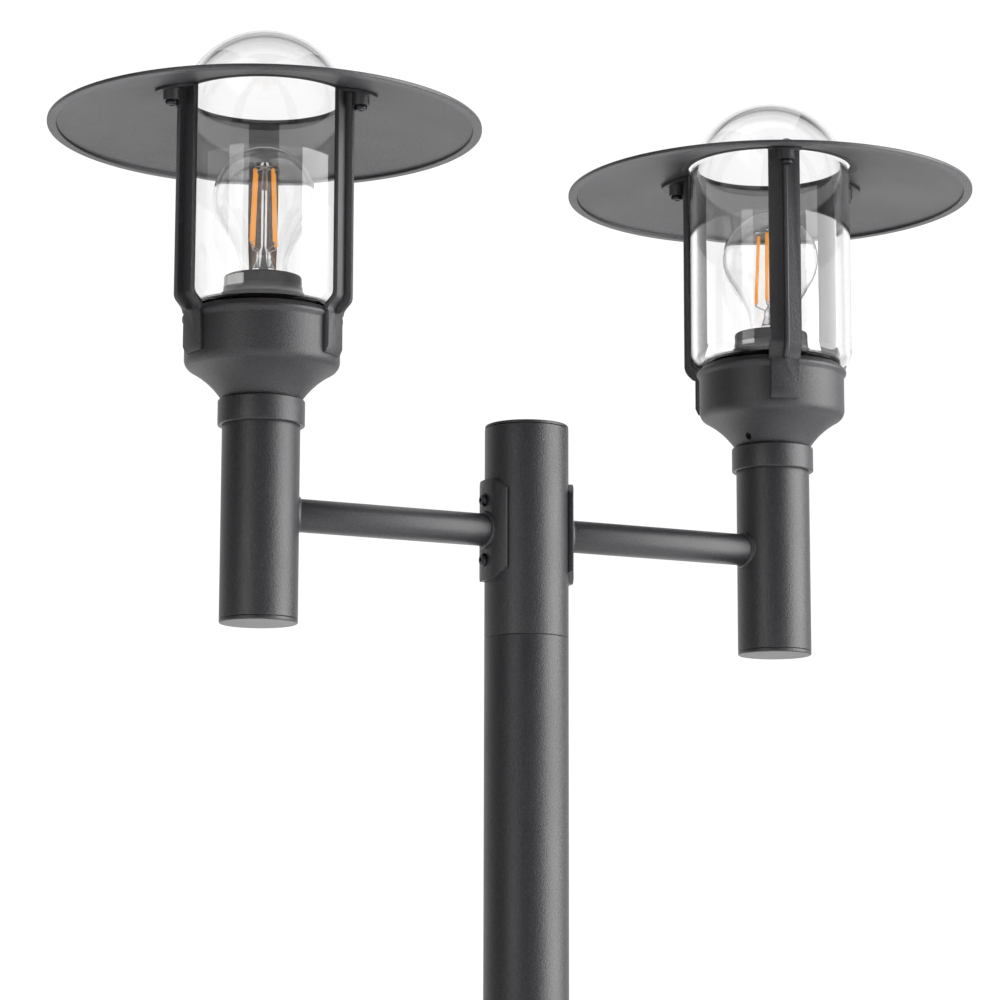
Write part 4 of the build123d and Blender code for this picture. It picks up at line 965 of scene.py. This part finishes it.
class LAMP_OT_bulbs(bpy.types.Operator):
    """Builds the clear bulbs with their stems, light strips and screw caps"""
    bl_idname = "lamp_post.bulbs"
    bl_label = "Bulbs"

    def execute(self, context):
        wall = context.scene.lamp_sizes.bulb_wall / MM
        for side in SIDES:
            self.make_envelope(side, wall)
            self.make_cap(side)
            self.make_stem(side)
            self.make_strips(side)
        return {"FINISHED"}

    def pear(self, radius, neck, height, offset):
        """Outline of the pear from its crown down to its neck, moved inwards by offset."""
        centre = height - radius
        points = arc((0, centre), radius - offset, 90, BULB_SHOULDER_ANGLE, 30)
        joint = points[-1]
        foot = Vector((neck - offset, BULB_NECK_HEIGHT))
        shoulder = math.radians(BULB_SHOULDER_ANGLE)
        lean = Vector((math.sin(shoulder), -math.cos(shoulder))) * 27
        drop = Vector((0, -1)) * 22
        for step in range(1, 17):
            t = step / 16
            points.append(joint * (2 * t ** 3 - 3 * t ** 2 + 1) + lean * (t ** 3 - 2 * t ** 2 + t)
                          + foot * (3 * t ** 2 - 2 * t ** 3) + drop * (t ** 3 - t ** 2))
        return points + [Vector((neck - offset, 0))]

    def make_envelope(self, side, wall):
        node = f"{side}_bulb_glass"
        x, y = lantern_axis(side)
        low = level(node, 0)
        height = (level(node, 1) - low) / MM
        radius = half_width(node)
        outer = self.pear(radius, BULB_NECK_RADIUS, height, 0)
        inner = self.pear(radius, BULB_NECK_RADIUS, height, wall)
        bulb = turn_on_lathe(f"{side}_pear_bulb", outer + inner[::-1], (x, y, low), closed=False)
        finish(bulb, f"{side}_bulb", "bulb_glass", bulb_envelope(), node)

    def make_cap(self, side):
        node = f"{side}_bulb_cap"
        x, y = lantern_axis(side)
        top = level(node, 1)
        radius = half_width(node)
        points = [Vector((0, 0)), Vector((radius, 0)), Vector((radius, -2))]
        for step in range(THREAD_TURNS * 8 + 1):
            wave = 0.5 - 0.5 * math.cos(step / 8 * 2 * math.pi)
            points.append(Vector((radius - THREAD_DEPTH * wave, -2 - step * THREAD_PITCH / 8)))
        points += [Vector((radius - 1, -22)), Vector((6, -24)), Vector((4.5, -25)), Vector((0, -25))]
        cap = turn_on_lathe(f"{side}_screw_cap", points, (x, y, top), 96, closed=False)
        finish(cap, f"{side}_bulb", "bulb_cap_metal", nickel(), node)

    def make_stem(self, side):
        """Stem with its flare, pinched neck, rod and the knob that carries the supports."""
        node = f"{side}_bulb_stem"
        x, y = lantern_axis(side)
        low = level(node, 0)
        height = (level(node, 1) - low) / MM
        flare = half_width(node)
        neck = (level(f"{side}_bulb_filaments", 0) - low) / MM
        knob = height - STEM_KNOB_HEIGHT
        thick, rod, bulge = STEM_RADIUS, STEM_ROD_RADIUS, STEM_KNOB_RADIUS
        points = [Vector((0, 0))] + outline(
            (flare, 0, 0.4), (flare * 0.6, 4.4, 2.5), (thick, flare, 2.5), (thick, neck - 4.4, 2.0),
            (rod, neck, 2.0), (rod, knob, 0.8), (bulge, knob + 1.3, 1.0), (bulge, height - 1.3, 1.2),
            (rod, height, 0.5), (0, height))
        stem = turn_on_lathe(f"{side}_glass_stem", points, (x, y, low), FINE_LATHE_STEPS, closed=False)
        finish(stem, f"{side}_bulb", "stem_glass", stem_glass(), node)

    def strip_ends(self, node, x, y):
        """Foot and top of each light strip, found from the corners of the CAD strips."""
        corners = [vertex.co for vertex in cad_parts[node].data.vertices]
        middle = middle_of(node).z
        first = max(corners, key=lambda corner: (corner.x - x) ** 2 + (corner.y - y) ** 2)
        start = math.atan2(first.y - y, first.x - x)
        ends = {}
        for corner in corners:
            turn = math.atan2(corner.y - y, corner.x - x) - start
            key = (round(turn / (math.pi / 2)) % 4, corner.z > middle)
            ends.setdefault(key, []).append(corner)
        return [[sum(ends[quarter, up], Vector()) / len(ends[quarter, up]) for up in (False, True)]
                for quarter in range(4)]

    def make_strips(self, side):
        """Four coated light strips, with metal end clips, star supports and lead wires."""
        node = f"{side}_bulb_filaments"
        x, y = lantern_axis(side)
        low, high = level(node, 0), level(node, 1)
        strips = []
        metalwork = []
        for foot, top in self.strip_ends(node, x, y):
            run = top - foot
            way = Vector((top.x - x, top.y - y, 0)).normalized()
            strips.append(bar_between("strip", foot + run * 0.03, top - run * 0.03, STRIP_RADIUS * MM))
            metalwork.append(bar_between("clip", foot, foot + run * 0.05, CLIP_RADIUS * MM, 8))
            metalwork.append(bar_between("clip", top - run * 0.05, top, CLIP_RADIUS * MM, 8))
            metalwork.append(self.star(top + Vector((0, 0, 0.0012)), way))
            metalwork.append(bar_between("spoke", Vector((x, y, high + 0.0012)), top, WIRE_RADIUS * MM, 8))
            shoulder = Vector((x, y, low - 0.003)) + way * 3.6 * MM
            pinch = Vector((x, y, low - 0.014)) + way * 3.2 * MM
            metalwork.append(bar_between("lead", foot, shoulder, WIRE_RADIUS * MM, 8))
            metalwork.append(bar_between("lead", shoulder, pinch, WIRE_RADIUS * MM, 8))
        coated = joined(f"{side}_light_strips", strips)
        finish(coated, f"{side}_bulb", "filament_coat", filament_silicone(), node)
        finish(joined(f"{side}_bulb_wires", metalwork), f"{side}_bulb", "bulb_cap_metal", nickel())

    def star(self, place, way):
        """Small crimped tab at a strip's top, with its points spread outwards."""
        clear_selection()
        bpy.ops.mesh.primitive_cone_add(vertices=6, radius1=1.9 * MM, radius2=0.5 * MM, depth=1.0 * MM,
                                        location=place + way * 0.7 * MM,
                                        rotation=(0.25 * way.y, 0.25 * -way.x, math.atan2(way.y, way.x)))
        return settle(bpy.context.object, 20)


class LAMP_OT_wiring(bpy.types.Operator):
    """Finishes the pieces that stay inside the tubes"""
    bl_idname = "lamp_post.wiring"
    bl_label = "Inner Pieces"

    def execute(self, context):
        for node in ("post_sleeve", "head_sleeve"):
            repaint(node, zinc())
        repaint("terminal_block", terminal_plastic())
        for side in SIDES:
            repaint(f"{side}_lamp_cable", cable_jacket())
        return {"FINISHED"}


# ---- stage ----
WHITE = (1, 1, 1, 1)
FLOOR_GLOW = 0.38
BRIGHT_WALL = (0.44, 0.9, 0.0)


class LAMP_OT_stage(bpy.types.Operator):
    """Sets up the camera, the pale floor and the studio light"""
    bl_idname = "lamp_post.stage"
    bl_label = "Stage"

    def execute(self, context):
        self.place_camera(context)
        self.lay_floor()
        self.light_room(context)
        context.scene.view_settings.view_transform = "Standard"
        return {"FINISHED"}

    def place_camera(self, context):
        stage = context.scene.lamp_stage
        clear_selection()
        place = (stage.distance_x, stage.distance_y, rim_level() - stage.below_rim)
        bpy.ops.object.camera_add(location=place)
        camera = context.object
        camera.data.lens = stage.lens
        camera.data.sensor_width = 36
        camera.data.clip_end = 100
        level_turn = Euler((math.pi / 2 + stage.pitch, 0, stage.yaw)).to_matrix()
        camera.rotation_euler = (level_turn @ Matrix.Rotation(stage.roll, 3, "Z")).to_euler()
        context.scene.camera = camera

    def lay_floor(self):
        clear_selection()
        bpy.ops.mesh.primitive_plane_add(size=40, location=(0, 0, 0))
        floor = named(bpy.context.object, "studio_floor")
        material, tree = new_material("pale_studio_floor")
        place = add_node(tree, "TexCoord")
        cloud = noise(tree, place, 400, 2.0)
        skin = tint(tree, cloud.outputs["Fac"], hex_to_linear("#f1f1f1"), hex_to_linear("#f5f5f5"))
        shader = add_node(tree, "BsdfPrincipled", {
            "Roughness": 0.8, "Emission Color": WHITE, "Emission Strength": FLOOR_GLOW},
            {"Base Color": skin.outputs[2]})
        add_node(tree, "OutputMaterial", None, {"Surface": shader.outputs["BSDF"]})
        floor.data.materials.append(material)

    def light_room(self, context):
        """A room that is bright behind the post and dim before it, with softboxes to its sides."""
        world = bpy.data.worlds.new("studio")
        world.use_nodes = True
        tree = world.node_tree
        tree.nodes.clear()
        place = add_node(tree, "TexCoord")
        toward = add_node(tree, "VectorMath", {"operation": "DOT_PRODUCT", 1: BRIGHT_WALL},
                          {0: place.outputs["Generated"]})
        upward = add_node(tree, "SeparateXYZ", None, {"Vector": place.outputs["Generated"]})
        wall = span_to(tree, toward.outputs["Value"], -0.1, 0.75, 0.08, 1.0)
        # Seen through glass the room darkens overhead, which draws the domes' outlines in grey.
        beyond = span_to(tree, upward.outputs["Z"], 0.4, 0.68, 1.04, 0.05)
        path = add_node(tree, "LightPath")
        room = add_node(tree, "Background", {"Color": WHITE}, {"Strength": wall.outputs["Result"]})
        glass_view = add_node(tree, "Background", {"Color": WHITE}, {"Strength": beyond.outputs["Result"]})
        backdrop = add_node(tree, "Background", {"Color": WHITE, "Strength": 1.05})
        through = add_node(tree, "MixShader", None, {
            0: path.outputs["Is Transmission Ray"], 1: room.outputs[0], 2: glass_view.outputs[0]})
        both = add_node(tree, "MixShader", None, {
            0: path.outputs["Is Camera Ray"], 1: through.outputs[0], 2: backdrop.outputs[0]})
        add_node(tree, "OutputWorld", None, {"Surface": both.outputs[0]})
        context.scene.world = world
        self.softbox("right_softbox", (1.75, -1.35, 2.2), (0.0, 0.0, 1.9), 2.2, 3.0, 150)
        self.softbox("left_softbox", (-2.2, -1.2, 2.0), (0.0, 0.0, 1.9), 0.8, 2.4, 19)
        self.softbox("top_softbox", (0.2, 0.6, 5.0), (0.0, 0.0, 2.0), 3.0, 3.0, 40)
        self.softbox("low_softbox", (0.2, 1.6, 1.0), (0.0, 0.0, 2.15), 3.2, 0.8, 10)

    def softbox(self, name, place, target, width, height, power):
        clear_selection()
        bpy.ops.object.light_add(type="AREA", location=place)
        light = bpy.context.object
        light.name = name
        light.data.shape = "RECTANGLE"
        light.data.size = width
        light.data.size_y = height
        light.data.energy = power
        light.visible_transmission = False
        aim = Vector(target) - Vector(place)
        light.rotation_euler = aim.to_track_quat("-Z", "Y").to_euler()


class LAMP_PT_panel(bpy.types.Panel):
    """Sidebar panel with one button for each group of pieces"""
    bl_idname = "LAMP_PT_panel"
    bl_label = "Lamp Post"
    bl_space_type = "VIEW_3D"
    bl_region_type = "UI"
    bl_category = "Lamp Post"

    def draw(self, context):
        for operator in BUILDERS:
            self.layout.operator(operator.bl_idname)
        for settings in (context.scene.lamp_sizes, context.scene.lamp_finish, context.scene.lamp_stage):
            for key in settings.__annotations__:
                self.layout.prop(settings, key)


SETTINGS = {"lamp_sizes": LampPostSizes, "lamp_finish": LampPostFinish, "lamp_stage": LampPostStage}
BUILDERS = (LAMP_OT_stage, LAMP_OT_post, LAMP_OT_arms, LAMP_OT_lamp_tubes, LAMP_OT_cups, LAMP_OT_glass,
            LAMP_OT_hats, LAMP_OT_holders, LAMP_OT_bulbs, LAMP_OT_wiring)


def register():
    for kind in (*SETTINGS.values(), *BUILDERS, LAMP_PT_panel):
        bpy.utils.register_class(kind)
    for name, kind in SETTINGS.items():
        setattr(bpy.types.Scene, name, PointerProperty(type=kind))


def unregister():
    for name in SETTINGS:
        delattr(bpy.types.Scene, name)
    for kind in reversed((*SETTINGS.values(), *BUILDERS, LAMP_PT_panel)):
        bpy.utils.unregister_class(kind)


def run_builder(kind):
    """Calls an operator by its name and stops the script if it can't finish."""
    group, name = kind.bl_idname.split(".")
    if getattr(getattr(bpy.ops, group), name)() != {"FINISHED"}:
        raise RuntimeError(f"{kind.bl_label} did not finish")


def main():
    register()
    for kind in BUILDERS:
        run_builder(kind)


if __name__ == "__main__":
    main()
